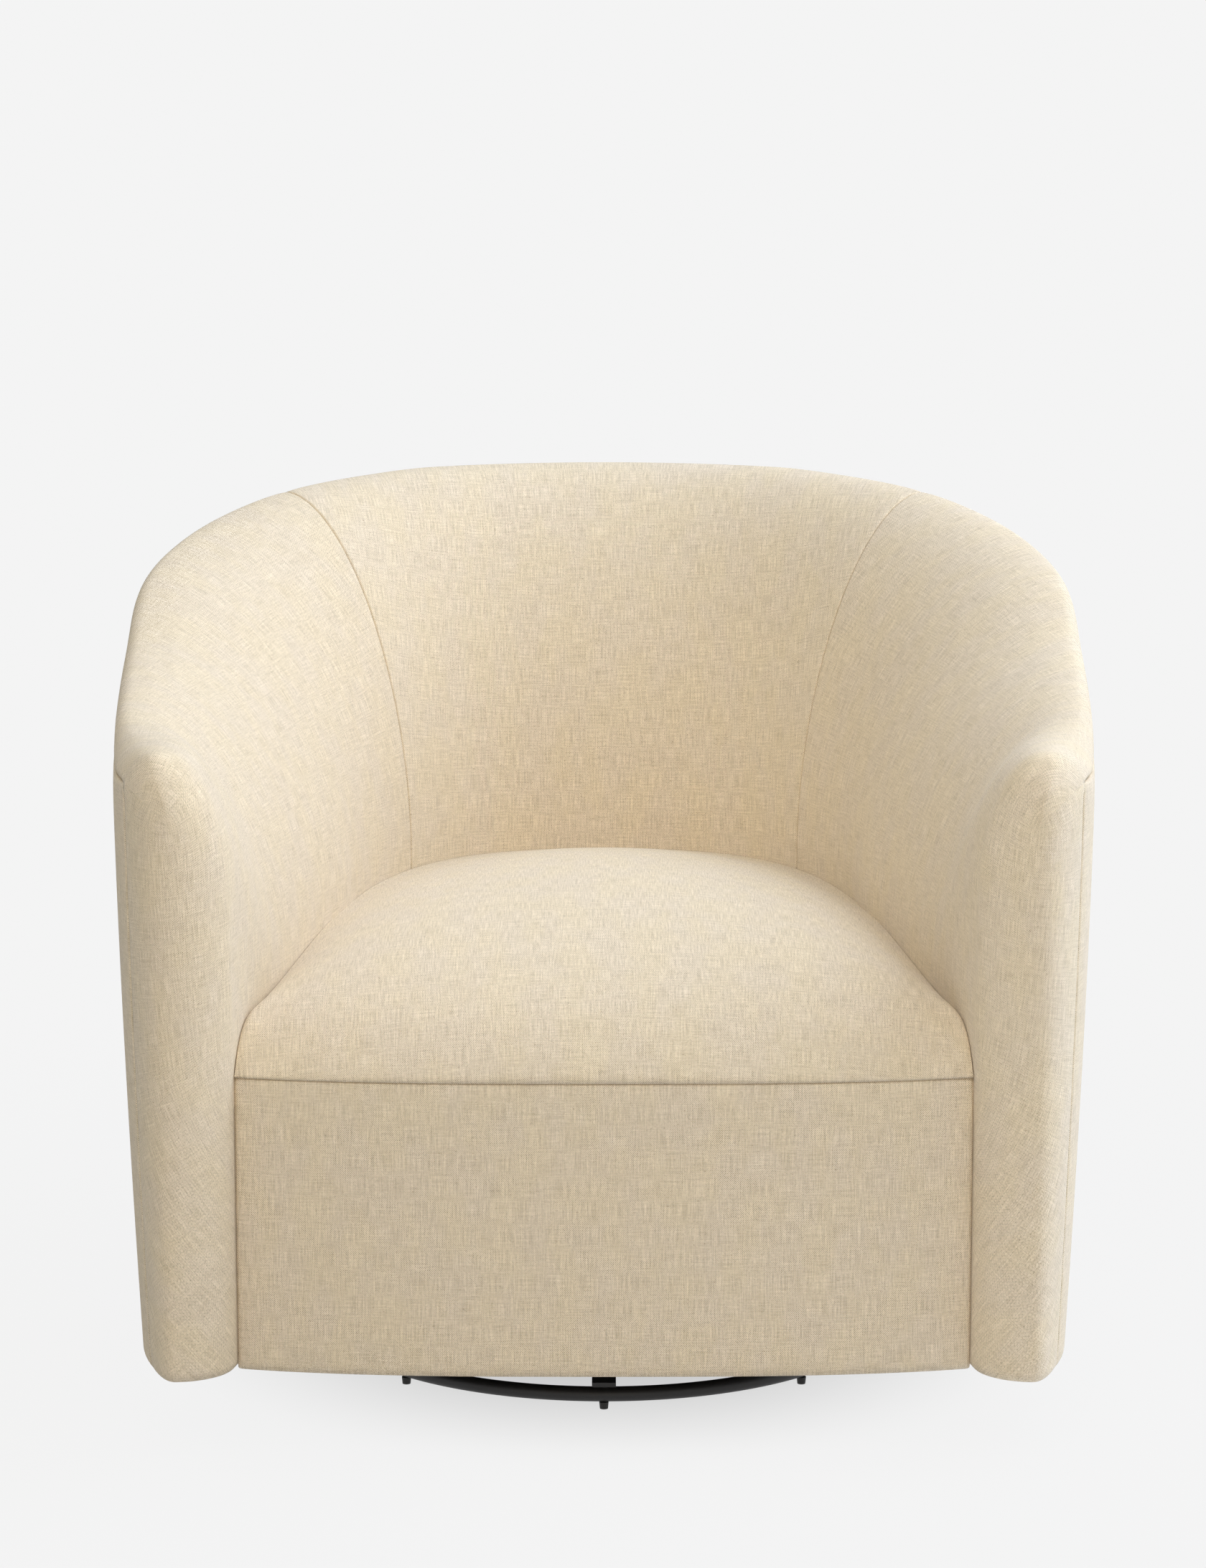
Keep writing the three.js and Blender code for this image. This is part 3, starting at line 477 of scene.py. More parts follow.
# Mesh of a pad: its points, its faces, the faces of the flat cloth, and the cloth's places.
# An arm pad has a nose, which is closed and seamed on its outer side; the back pad is capped.
def makePad(runs, radius, threadRow, threadHigh):
    paths = np.concatenate([run for run, _ in runs])
    styles = np.concatenate([[style] * len(run) for run, style in runs])
    rings = np.concatenate([padRings(station(run), style) for run, style in runs])
    rows = len(paths)
    nose = int(np.argmax(styles == "nose")) if "nose" in styles else rows
    order = np.r_[padTop:padRound, 0:padTurn]
    skin = rings[:, order]
    outward = gridNormals(skin, (rows // 3, pad["rimSteps"]), (0, 0, 1))
    along, across = runLengths(skin, 0), runLengths(skin, 1)
    distance = np.minimum(across, along)
    corner = farAway + 0 * along
    if nose < rows:
        corner = np.hypot(along - along[nose], across)
        distance[nose:] = corner[nose:]
    else:
        distance = np.minimum(distance, along[-1:] - along)
    dips = seamDip(distance, radius, corner)
    foldShare = np.exp(-((paths[:, None] - pad["foldPath"]) / pad["foldWidth"]) ** 2)
    above = skin[..., 2] - cushion["backCrease"]
    foldShare = foldShare * smooth(1 - above / pad["foldHeight"]) * (across > across[0, padTurn // 2])
    dips = dips - pad["foldDepth"] * foldShare
    moved = rings.copy()
    moved[:, order] = skin - outward * dips[..., None]
    if nose < rows:
        side = rings[nose:, padOutside:padTop]
        away = gridNormals(side, (0, side.shape[1] // 2), (side[0, 0, 0], 0, 0))
        beyond, up = runLengths(side, 0), runLengths(side, 1)
        corner = np.hypot(beyond, up[:, -1:] - up)
        dips = seamDip(beyond, radius, corner)
        moved[nose:, padOutside:padTop] = side - away * dips[..., None]
    grid = gridFaces(rows, padRound, closed=True)
    lids = [list(range(padRound))]
    if nose == rows:
        lids.append([(rows - 1) * padRound + v for v in range(padRound)][::-1])
    welded, kept, inverse = weld(rings.reshape(-1, 3), grid + lids, moved.reshape(-1, 3))
    row, column = np.divmod(np.arange(len(grid)), padRound)
    shown = (column < padTurn - 1) | (column >= padTop)
    shown |= (row >= nose) & ((column < padBottom - 1) | (column >= padOutside))
    twins = {int(inverse[r * padRound + padTop]): len(welded) + r - nose for r in range(nose, rows - 1)}
    turned = (row >= nose) & (column >= padOutside) & (column < padTop)
    panel = kept.copy()
    for i in np.flatnonzero(turned):
        panel[i] = kept[i] and [twins.get(v, v) for v in kept[i]]
    flatPoints = np.concatenate([welded, welded[list(twins)]]) if twins else welded
    low, high = (int(inverse[threadRow * padRound + level]) for level in (pad["threadLow"], threadHigh))
    cloth = flatten(flatPoints, [panel[i] for i in np.flatnonzero(shown) if panel[i]], low, high)
    return welded, [face for face in kept if face], [face for face in panel if face], cloth


# Flattens a curved panel as the cloth was cut, with its threads running from one vertex up to another
def flatten(points, faces, low, high):
    mesh = bpy.data.meshes.new("panel")
    mesh.from_pydata(points.tolist(), [], faces)
    mesh.uv_layers.new(name="cloth")
    panel = addObject("panel", mesh)
    selectOnly(panel)
    bpy.ops.object.mode_set(mode="EDIT")
    bpy.ops.mesh.select_all(action="SELECT")
    bpy.ops.uv.unwrap(method="MINIMUM_STRETCH", iterations=12, margin=0)
    bpy.ops.object.mode_set(mode="OBJECT")
    flat = np.zeros((len(points), 2))
    corners = readAll(mesh.loops, "vertex_index", kind=int)
    flat[corners] = readAll(mesh.uv_layers["cloth"].data, "uv", 2)
    a, b = readAll(mesh.edges, "vertices", 2, int).T
    real = np.linalg.norm(points[a] - points[b], axis=1)
    drawn = np.linalg.norm(flat[a] - flat[b], axis=1)
    flat *= real.sum() / drawn.sum()
    bpy.data.objects.remove(panel)
    up = flat[high] - flat[low]
    up /= np.linalg.norm(up)
    flat -= flat[low]
    return np.stack([flat @ [up[1], -up[0]], flat @ up], -1)


def makePads():
    gap = carcass["gap"]
    boardBack = backSpan + carcass["boardBack"] - gap
    boardEnd = backSpan + carcass["boardFront"] + gap
    noseTurn = np.linspace(0, quarterTurn, pad["noseSteps"])
    arm = [
        (places(seamPath + gap, boardBack, pad["spacing"], (True, False)), "hollow"),
        (np.linspace(boardBack, boardEnd, pad["boardSteps"]), "board"),
        (np.linspace(boardEnd, armFrontPath, pad["skirtSteps"]), "skirt"),
        (armFrontPath + barrel["noseDepth"] * np.sin(noseTurn), "nose"),
    ]
    points, faces, panel, cloth = makePad(arm, pad["seamRadius"], pad["threadRow"], pad["armThreadHigh"])
    for hand, side, offset in (("right", 1, (3.1, 1.7)), ("left", -1, (7.3, 4.9))):
        piece = makeObject(f"upholstered_arm_{hand}", points * [side, 1, 1], [face[::side] for face in faces])
        setThreads(piece, cloth * [side, 1] + offset, [face[::side] for face in panel])
        faceOut(piece)
        dress(piece, linen, "linen", f"inside_arm_pad_{hand}")
    run = places(-seamPath + gap, seamPath - gap, pad["spacing"])
    middle = len(run) // 2
    points, faces, _, cloth = makePad([(run, "hollow")], pad["backSeamRadius"], middle, pad["backThreadHigh"])
    piece = faceOut(makeObject("upholstered_back", points, faces))
    setThreads(piece, cloth + (0.6, 0.2))
    dress(piece, linen, "linen", "inside_back_pad")


cover = {
    "gap": 0.15 * mm,
    "spacing": 6 * mm,
    "levels": 72,
    "nearLevels": 9,
    "hemSteps": 10,
    "turnSteps": 6,
    "seamRadius": 2.6 * mm,
    "turnThickness": 4.3 * mm,
}


# Outside cover from one path place to another, with its hem turned under
def makeCover(name, start, end, offset, node):
    paths = places(start, end, cover["spacing"])
    place = station(paths)
    top = place.rim - barrel["seamDrop"]
    near = nearSeam(cover["nearLevels"])[None]
    share = np.linspace(0, 1, cover["levels"] + 1)[None]
    hem = hemLevels(cover["hemSteps"]) + 0 * place.rim
    z = np.concatenate([top - near[:, :-1], blend(top - near[:, -1:], hemTop, share), hem], 1)
    inset = outerFace(place, z)
    turnEnd = outerFace(place, hemTop) + carcass["coverThickness"] + carcass["hemWidth"]
    under = blend(inset[:, -1:], turnEnd, np.linspace(0, 1, cover["turnSteps"] + 1)[None, 1:])
    inset = np.concatenate([inset, under], 1)
    z = np.concatenate([z, barrel["underside"] + 0 * under], 1)
    skin = wallPoints(place, inset, z)
    away = (-place.inwardX[0, 0], -place.inwardY[0, 0], 0)
    outward = gridNormals(skin, (0, cover["levels"] // 2), away)
    along, down = runLengths(skin, 0), runLengths(skin, 1)
    distance = np.minimum(np.minimum(along, along[-1:] - along), down)
    corner = np.hypot(armFrontPath - np.abs(paths[:, None]), down)
    dips = seamDip(distance, cover["seamRadius"], corner)
    thickness = np.full(skin.shape[1], carcass["coverThickness"])
    flat = cover["hemSteps"] + cover["turnSteps"]
    thickness[-flat:] = np.linspace(carcass["coverThickness"], cover["turnThickness"], flat)
    cloth = pointsOf(paths[:, None], -down) + offset
    piece = sheetOf(name, skin - outward * dips[..., None], skin - outward * thickness[:, None], cloth)
    dress(piece, linen, "linen", node)


cushion = {
    "crownHeight": 432 * mm,
    "crownPlace": -100 * mm,
    "frontCrease": 354 * mm,
    "backCrease": 378 * mm,
    "creaseRun": 52 * mm,
    "creasePower": 2.6,
    "creaseRiseStart": -330 * mm,
    "creaseRiseEnd": -15 * mm,
    "domePower": 1.6,
    "frontFullness": 0.54,
    "backFullness": 1.3,
    "sideGap": 0.4 * mm,
    "sideDraw": 4 * mm,
    "bottom": 298.6 * mm,
    "frontBottom": 314.3 * mm,
    "frontEnd": 364 * mm,
    "boardFront": 350 * mm,
    "rings": 52,
    "ringPower": 1.7,
    "sideSteps": 6,
    "threadEnd": 10,
    "seamStart": 350 * mm,
    "seamFade": 12 * mm,
    "seamRadius": 0.5 * mm,
    "softDepth": 0.7 * mm,
    "softReach": 4 * mm,
    "calmShare": 0.25,
    "calmTurns": 60,
    "pressure": 4,
    "clothQuality": 5,
    "clothFrames": 20,
    "mostMove": 5 * mm,
}
apron = {
    "front": 386 * mm,
    "bow": 22 * mm,
    "bowPower": 3,
    "back": 352.3 * mm,
    "top": 314 * mm,
    "sideGap": 0.3 * mm,
    "spacing": 6 * mm,
    "sideRadius": 3.6 * mm,
    "topRadius": 0.5 * mm,
    "topDepth": 2.6 * mm,
    "topReach": 8 * mm,
    "bottomRadius": 9 * mm,
    "softDepth": 1.1 * mm,
    "softReach": 14 * mm,
}


def apronFront(x):
    share = np.abs(x) / barrel["wellFrontHalfWidth"]
    return -(apron["front"] - apron["bow"] * share ** apron["bowPower"])


def cushionEdge(y):
    forward = np.maximum(0, y + cushion["frontEnd"])
    rise = cushion["creaseRiseEnd"] - cushion["creaseRiseStart"]
    share = smooth((y - cushion["creaseRiseStart"]) / rise)
    line = blend(cushion["frontCrease"], cushion["backCrease"], share)
    ease = np.maximum(0, 1 - forward / cushion["creaseRun"]) ** cushion["creasePower"]
    return blend(line, cushion["frontBottom"], ease)


# Outline of what lies in the wall: a quarter of its points across the front, the rest round the wall
def wellOutline(count, front, insetOf, frontOf):
    end = backSpan + front
    place = station(np.linspace(end, -end, 3 * count + 1))
    away = insetOf(place)
    line = np.concatenate([place.outerX + place.inwardX * away, place.outerY + place.inwardY * away], 1)
    x = np.linspace(-line[0, 0], line[0, 0], count + 1)[1:-1]
    return np.concatenate([line, pointsOf(x, frontOf(x))])


def seatInset(place):
    return place.thickness + cushion["sideGap"]


def boardLine(x):
    return 0 * x - carcass["boardFront"]


# Points at places along a closed line, counted in its own points
def pointsAlong(line, where):
    lower = np.floor(where).astype(int)
    part = (where - lower)[..., None]
    return line[lower % len(line)] * (1 - part) + line[(lower + 1) % len(line)] * part


# Grid that maps a square onto an outline round a middle point
def squareGrid(rings, outline, middle, power):
    u, v = np.mgrid[-rings:rings + 1, -rings:rings + 1]
    ring = np.maximum(np.abs(u), np.abs(v))
    size = np.maximum(ring, 1)
    sides = [(u == ring) & (v < ring), (v == ring) & (u > -ring), (u == -ring) & (v > -ring)]
    turns = [(1 + v / size) / 2, (3 - u / size) / 2, (5 - v / size) / 2]
    around = np.select(sides, turns, (7 + u / size) / 2)
    edge = pointsAlong(outline, around * 2 * rings)
    share = 1 - (1 - ring / rings) ** power
    return edge, share, blend(middle, edge, share[..., None])


def makeCushion():
    rings = cushion["rings"]
    width = 2 * rings + 1
    crown = np.array([0, cushion["crownPlace"]])
    outline = wellOutline(2 * rings, cushion["frontEnd"], seatInset, apronFront)
    edge, share, flat = squareGrid(rings, outline, crown, cushion["ringPower"])
    reach = np.linalg.norm(edge - crown, axis=-1)
    behind = (1 + (edge[..., 1] - crown[1]) / reach) / 2
    fullness = blend(cushion["frontFullness"], cushion["backFullness"], behind)
    low = cushionEdge(edge[..., 1])
    rise = np.clip(1 - share ** cushion["domePower"], 0, 1) ** fullness
    top = raised(flat, blend(low, cushion["crownHeight"], rise))
    calm = smooth((1 - share) / cushion["calmShare"])[1:-1, 1:-1]
    height = top[..., 2]
    for _ in range(cushion["calmTurns"]):
        around = height[:-2, 1:-1] + height[2:, 1:-1] + height[1:-1, :-2] + height[1:-1, 2:]
        height[1:-1, 1:-1] += calm * (around / 4 - height[1:-1, 1:-1])
    outward = gridNormals(top, (rings, rings), (0, 0, 1))
    fromSeam = np.linalg.norm(top - raised(edge, low), axis=-1)
    dips = softDip(fromSeam, cushion["seamRadius"], cushion["softDepth"], cushion["softReach"])
    frontSeam = np.clip((-edge[..., 1] - cushion["seamStart"]) / cushion["seamFade"], 0, 1)
    top = (top - outward * (dips * frontSeam)[..., None]).reshape(-1, 3)
    narrow = share * (1 - cushion["sideDraw"] / reach)
    base = blend(crown, edge, narrow[..., None])
    bottomZ = np.where(-base[..., 1] > cushion["boardFront"], cushion["frontBottom"], cushion["bottom"])
    bottom = raised(base, bottomZ).reshape(-1, 3)
    index = np.arange(width * width).reshape(width, width)
    border = np.concatenate([index[-1, :-1], index[:0:-1, -1], index[0, :0:-1], index[:-1, 0]])
    turn = quarterTurn * np.arange(1, cushion["sideSteps"]) / cushion["sideSteps"]
    drawn = np.stack([1 - np.cos(turn), 1 - np.cos(turn), np.sin(turn)], -1)[:, None]
    sides = blend(top[border], bottom[border], drawn)
    sideIndex = len(top) + np.arange(sides[..., 0].size).reshape(sides.shape[:2])
    below = len(top) + sideIndex.size
    levels = np.concatenate([border[None], sideIndex, below + border[None]])
    after = np.roll(levels, -1, axis=1)
    faces = [face[::-1] for face in gridFaces(width, width)]
    faces += np.stack([levels[:-1], after[:-1], after[1:], levels[1:]], -1).reshape(-1, 4).tolist()
    faces += [[v + below for v in face] for face in gridFaces(width, width)]
    points = np.concatenate([top, sides.reshape(-1, 3), bottom])
    end = cushion["threadEnd"]
    cloth = flatten(points, faces[: (width - 1) ** 2], int(index[rings, end]), int(index[rings, -end]))
    cloth[len(top):] = points[len(top):, :2]
    piece = faceOut(makeObject("cushion", points, faces))
    setThreads(piece, cloth + (2.2, 6.1))
    ringNumber = np.maximum(*np.abs(np.indices((width, width)) - rings)).ravel()
    settle(piece, np.setdiff1d(np.arange(len(points)), np.flatnonzero(ringNumber < rings - 1)))
    dress(piece, linen, "linen", "seat_cushion")


# Cloth blown tight from inside for a moment, with the given vertices held, and then kept as it is
def settle(piece, held):
    work = addObject("work", piece.data.copy())
    work.vertex_groups.new(name="held").add(held.tolist(), 1, "REPLACE")
    cloth = work.modifiers.new("cloth", "CLOTH")
    cloth.settings.quality = cushion["clothQuality"]
    cloth.settings.vertex_group_mass = "held"
    cloth.settings.use_pressure = True
    cloth.settings.uniform_pressure_force = cushion["pressure"]
    cloth.settings.effector_weights.gravity = 0
    cloth.point_cache.frame_end = cushion["clothFrames"]
    for number in range(1, cushion["clothFrames"] + 1):
        bpy.context.scene.frame_set(number)
    blown = work.evaluated_get(bpy.context.evaluated_depsgraph_get()).to_mesh()
    before = readAll(piece.data.vertices, "co", 3)
    move = readAll(blown.vertices, "co", 3) - before
    far = np.linalg.norm(move, axis=1, keepdims=True)
    print(piece.name, "cloth moved by up to", round(float(far.max()) / mm, 1), "mm")
    move *= np.minimum(1, cushion["mostMove"] / np.maximum(far, 1e-9))
    piece.data.vertices.foreach_set("co", (before + move).ravel())
    bpy.data.objects.remove(work)
    bpy.context.scene.frame_set(1)


def makeApron():
    half, backHalf = (
        barrel["wellHalfWidth"] + wellFlare * depth - apron["sideGap"]
        for depth in (cushion["frontEnd"], apron["back"])
    )
    x = places(-half, half, apron["spacing"])[:, None]
    z = places(barrel["underside"], apron["top"], apron["spacing"])[None]
    front = pointsOf(x, apronFront(x), z)
    soft = apron["softDepth"], apron["softReach"]
    front[..., 1] += softDip(half - np.abs(x), apron["sideRadius"], *soft)
    front[..., 1] += softDip(apron["top"] - z, apron["topRadius"], apron["topDepth"], apron["topReach"])
    front[..., 1] += softDip(z - barrel["underside"], apron["bottomRadius"], *soft)
    back = pointsOf(x * backHalf / half, -apron["back"], z)
    piece = sheetOf("apron", front, back, pointsOf(x, z) + (5.1, 0.3))
    dress(piece, linen, "linen", "front_apron")


def material(name):
    made = bpy.data.materials.new(name)
    made.use_nodes = True
    return made, made.node_tree, made.node_tree.nodes["Principled BSDF"]


def feed(tree, socket, value):
    if isinstance(value, bpy.types.NodeSocket):
        tree.links.new(value, socket)
    elif isinstance(value, tuple):
        socket.default_value = (*value, 1) if socket.type == "RGBA" else value
    else:
        socket.default_value = value


def feedNode(tree, node, **values):
    for name, value in values.items():
        feed(tree, node.inputs[name.replace("_", " ")], value)


def addNode(tree, kind, settings=None, **values):
    node = tree.nodes.new(kind)
    for name, setting in (settings or {}).items():
        setattr(node, name, setting)
    feedNode(tree, node, **values)
    return node


# First output of a new node
def output(tree, kind, settings=None, **values):
    return addNode(tree, kind, settings, **values).outputs[0]


def maths(tree, operation, *values):
    node = tree.nodes.new("ShaderNodeMath")
    node.operation = operation
    for socket, value in zip(node.inputs, values):
        feed(tree, socket, value)
    return node.outputs[0]


# A value plus others, each times its weight
def weighed(tree, total, *pairs):
    for value, weight in pairs:
        total = maths(tree, "ADD", total, maths(tree, "MULTIPLY", value, weight))
    return total


def vector(tree, x=0.0, y=0.0, z=0.0):
    return output(tree, "ShaderNodeCombineXYZ", X=x, Y=y, Z=z)


def ownPlace(tree):
    return tree.nodes.new("ShaderNodeTexCoord").outputs["Object"]


# Smooth random value about zero, drawn out by its scales along x and y
def streaks(tree, x, y, scales, seed, detail=2.0):
    drawn = (maths(tree, "MULTIPLY", value, scale) for value, scale in zip((x, y), scales))
    place = vector(tree, *drawn, seed)
    noise = output(tree, "ShaderNodeTexNoise", Vector=place, Scale=1.0, Detail=detail)
    return maths(tree, "SUBTRACT", noise, 0.5)


def ramp(tree, value, low, high):
    return output(
        tree, "ShaderNodeMapRange", {"interpolation_type": "SMOOTHSTEP", "clamp": True},
        Value=value, From_Min=low, From_Max=high, To_Min=0.0, To_Max=1.0,
    )


def blendColours(tree, share, first, second, mode="MIX"):
    node = tree.nodes.new("ShaderNodeMix")
    node.data_type, node.blend_type = "RGBA", mode
    feed(tree, node.inputs["Factor"], share)
    feed(tree, node.inputs[6], first)
    feed(tree, node.inputs[7], second)
    return node.outputs[2]


# Plain weave whose threads follow the piece's own flat cloth, with a painted highlight on the thread crowns
# and painted shade in the hollows between them
def woven(name, look):
    made, tree, shader = material(name)
    flat = output(tree, "ShaderNodeUVMap", {"uv_map": "cloth"})
    x, y = addNode(tree, "ShaderNodeSeparateXYZ", Vector=flat).outputs[:2]
    threads = []
    for own, other, seed in ((x, y, 1.0), (y, x, 2.0)):
        sway = streaks(tree, own, other, look["swayScale"], seed)
        uneven = streaks(tree, own, other, look["unevenScale"], seed + 10)
        count = maths(tree, "DIVIDE", own, look["pitch"])
        threads.append(weighed(tree, count, (sway, look["sway"]), (uneven, look["uneven"])))
    u, v = threads
    waves = [maths(tree, "SINE", maths(tree, "MULTIPLY", thread, math.pi)) for thread in threads]
    crossing = maths(tree, "MULTIPLY", *waves)  # 1 where the warp lies on top, -1 where the weft does
    warp = streaks(tree, u, v, look["warpScale"], 3.0)
    weft = streaks(tree, u, v, look["weftScale"], 5.0)
    patch = streaks(tree, x, y, look["patchScale"], 12.0, 3.0)
    single = streaks(tree, u, v, look["singleScale"], 6.0, 1.0)
    # How open the weave is in places, which sets how dark the painted shade in its hollows is
    openness = weighed(
        tree, 1.0, (warp, -look["warpPores"]), (weft, -look["weftPores"]),
        (patch, -look["patchPores"]), (single, -look["singlePores"]),
    )
    openness = maths(tree, "MINIMUM", maths(tree, "MAXIMUM", openness, look["leastOpen"]), look["mostOpen"])
    openness = maths(tree, "MULTIPLY", openness, look["poreShade"])
    # Painted shade: the hollows where the weft lies on top are darkened in the colour
    poreShade = maths(tree, "MULTIPLY", ramp(tree, crossing, *look["poreEdge"]), openness)
    slubs = [
        ramp(tree, streaks(tree, u, v, look["warpSlub"], 7.0), *look["warpSlubEdge"]),
        ramp(tree, streaks(tree, u, v, look["weftSlub"], 8.0), *look["weftSlubEdge"]),
    ]
    fleck = ramp(tree, streaks(tree, u, v, look["fleckScale"], 11.0, 0.0), *look["fleckEdge"])
    colour = blendColours(tree, ramp(tree, patch, *look["patchEdge"]), look["cool"], look["warm"])
    colour = blendColours(tree, maths(tree, "MULTIPLY", fleck, look["fleck"]), colour, look["brown"])
    # Painted highlight: the crowns where the warp lies on top are lightened in the colour
    crown = ramp(tree, crossing, *look["crownHighlightEdge"])
    # Tone of the cloth: its streaky warp and weft and pale slubs, with the painted highlight on the crowns
    light = weighed(
        tree, 1.0, (warp, look["warpTone"]), (weft, look["weftTone"]),
        (maths(tree, "MAXIMUM", *slubs), look["paleSlub"]), (crown, look["crown"]),
    )
    light = maths(tree, "MULTIPLY", light, maths(tree, "SUBTRACT", 1.0, poreShade))
    powers = (maths(tree, "POWER", light, look[power]) for power in ("greenPower", "bluePower"))
    colour = blendColours(tree, 1.0, colour, vector(tree, light, *powers), "MULTIPLY")
    relief = maths(tree, "MULTIPLY", crossing, look["crossRelief"])
    relief = weighed(tree, relief, (warp, look["warpRelief"]), (weft, look["weftRelief"]))
    bump = output(tree, "ShaderNodeBump", Strength=look["bump"], Distance=look["relief"], Height=relief)
    feedNode(
        tree, shader, Base_Color=colour, Normal=bump, Roughness=look["roughness"],
        Specular_IOR_Level=look["specular"], Sheen_Weight=look["sheen"],
        Sheen_Roughness=look["sheenRoughness"],
    )
    return made


linenLook = {
    "pitch": 0.8 * mm,
    "sway": 1.2,
    "swayScale": (30, 30),
    "uneven": 0.5,
    "unevenScale": (700, 160),
    "cool": (0.805, 0.695, 0.545),
    "warm": (0.81, 0.695, 0.52),
    "patchScale": (34, 16),
    "patchEdge": (-0.14, 0.14),
    "brown": (0.42, 0.3, 0.18),
    "warpScale": (0.9, 0.04),
    "warpTone": 0.55,
    "weftScale": (0.035, 0.9),
    "weftTone": 0.38,
    "paleSlub": 0.07,
    "warpSlub": (0.015, 0.45),
    "warpSlubEdge": (0.17, 0.25),
    "weftSlub": (0.4, 0.012),
    "weftSlubEdge": (0.16, 0.24),
    "fleck": 0.5,
    "fleckScale": (0.3, 0.5),
    "fleckEdge": (0.29, 0.33),
    # Strength of the painted highlight on the thread crowns
    "crown": 0.08,
    "crownHighlightEdge": (0.0, 1.0),
    # Painted shade in the weave's hollows: its strength, where it falls, and how open the weave is in places
    "poreShade": 0.5,
    "poreEdge": (0.1, -1.0),
    "leastOpen": 0.35,
    "mostOpen": 1.9,
    "warpPores": 1.1,
    "weftPores": 0.7,
    "patchPores": 0.4,
    "singlePores": 3,
    "singleScale": (0.45, 0.45),
    "greenPower": 1.08,
    "bluePower": 1.3,
    "crossRelief": 0.5,
    "warpRelief": 1.6,
    "weftRelief": 0.9,
    "bump": 0.8,
    "relief": 0.13 * mm,
    "roughness": 0.92,
    "specular": 0.2,
    "sheen": 0.2,
    "sheenRoughness": 0.5,
}
hessianLook = {
    **linenLook,
    "pitch": 1.3 * mm,
    "cool": (0.33, 0.235, 0.125),
    "warm": (0.42, 0.3, 0.165),
    "brown": (0.14, 0.09, 0.045),
    "warpTone": 0.9,
    "weftTone": 0.6,
    # Weaker painted shade in the hollows of the jute weave
    "poreShade": 0.3,
    "relief": 0.4 * mm,
}
dustLook = {
    **linenLook,
    "pitch": 0.45 * mm,
    "cool": (0.014, 0.014, 0.016),
    "warm": (0.02, 0.019, 0.019),
    "brown": (0.01, 0.01, 0.01),
    "relief": 0.06 * mm,
    "sheen": 0.05,
}


# Relief and a worn edge, as a shader's normal
def surface(tree, height, depth, edgeRadius):
    bump = output(tree, "ShaderNodeBump", Strength=0.3, Distance=depth, Height=height)
    return output(tree, "ShaderNodeBevel", Radius=edgeRadius, Normal=bump)


hardLook = {
    "fine": (900.0, 3.0),
    "broad": (40.0, 4.0),
    "relief": 0.05 * mm,
    "edge": 0.5 * mm,
}


# Steel or plastic with fine marks, each noise given by its scale and detail
def steel(name, colour, metallic, roughness, marks):
    made, tree, shader = material(name)
    fine, broad = (
        output(tree, "ShaderNodeTexNoise", Vector=ownPlace(tree), Scale=scale, Detail=detail)
        for scale, detail in (hardLook["fine"], hardLook["broad"])
    )
    rough = weighed(tree, roughness - marks, (maths(tree, "ADD", fine, broad), marks))
    normal = surface(tree, fine, hardLook["relief"], hardLook["edge"])
    feedNode(tree, shader, Base_Color=colour, Metallic=metallic, Roughness=rough, Normal=normal)
    return made


plywoodLook = {
    "grainScale": (260, 7),
    "figureScale": (30, 5),
    "ply": 3 * mm,
    "middleTone": 0.5,
    "grainTone": 1.4,
    "plyTone": 0.06,
    "dark": (0.42, 0.27, 0.13),
    "pale": (0.72, 0.54, 0.33),
    "relief": 0.2 * mm,
    "edge": 0.8 * mm,
    "roughness": 0.6,
}


# Birch plywood: long grain on its faces and thin plies along its edges
def makePlywood():
    look = plywoodLook
    made, tree, shader = material("birch_plywood")
    x, y, z = addNode(tree, "ShaderNodeSeparateXYZ", Vector=ownPlace(tree)).outputs
    grain = streaks(tree, x, maths(tree, "ADD", y, z), look["grainScale"], 31.0, 5.0)
    figure = streaks(tree, x, y, look["figureScale"], 32.0, 3.0)
    ply = maths(tree, "SINE", maths(tree, "MULTIPLY", z, 2 * math.pi / look["ply"]))
    tone = maths(tree, "ADD", look["middleTone"], figure)
    tone = weighed(tree, tone, (grain, look["grainTone"]), (ply, look["plyTone"]))
    colour = blendColours(tree, tone, look["dark"], look["pale"])
    normal = surface(tree, grain, look["relief"], look["edge"])
    feedNode(tree, shader, Base_Color=colour, Roughness=look["roughness"], Normal=normal)
    return made


linen = woven("linen_cloth", linenLook)
hessian = woven("jute_cloth", hessianLook)
dustCloth = woven("dust_cover_cloth", dustLook)
brightSteel = steel("bright_steel_surface", (0.62, 0.61, 0.59), 1, 0.32, 0.12)
blackSteel = steel("black_steel_surface", (0.042, 0.042, 0.044), 0, 0.5, 0.1)
blackPlastic = steel("black_plastic_surface", (0.035, 0.035, 0.036), 0, 0.55, 0.08)
plywood = makePlywood()


# A node tree with an input for each of a shape's sizes
def startShape(name, sizes):
    tree = bpy.data.node_groups.new(name, "GeometryNodeTree")
    for way in ("OUTPUT", "INPUT"):
        tree.interface.new_socket("Geometry", in_out=way, socket_type="NodeSocketGeometry")
    for label in sizes:
        kind = "NodeSocketInt" if label.endswith("Count") else "NodeSocketFloat"
        tree.interface.new_socket(label, in_out="INPUT", socket_type=kind)
    return tree, tree.nodes.new("NodeGroupInput").outputs


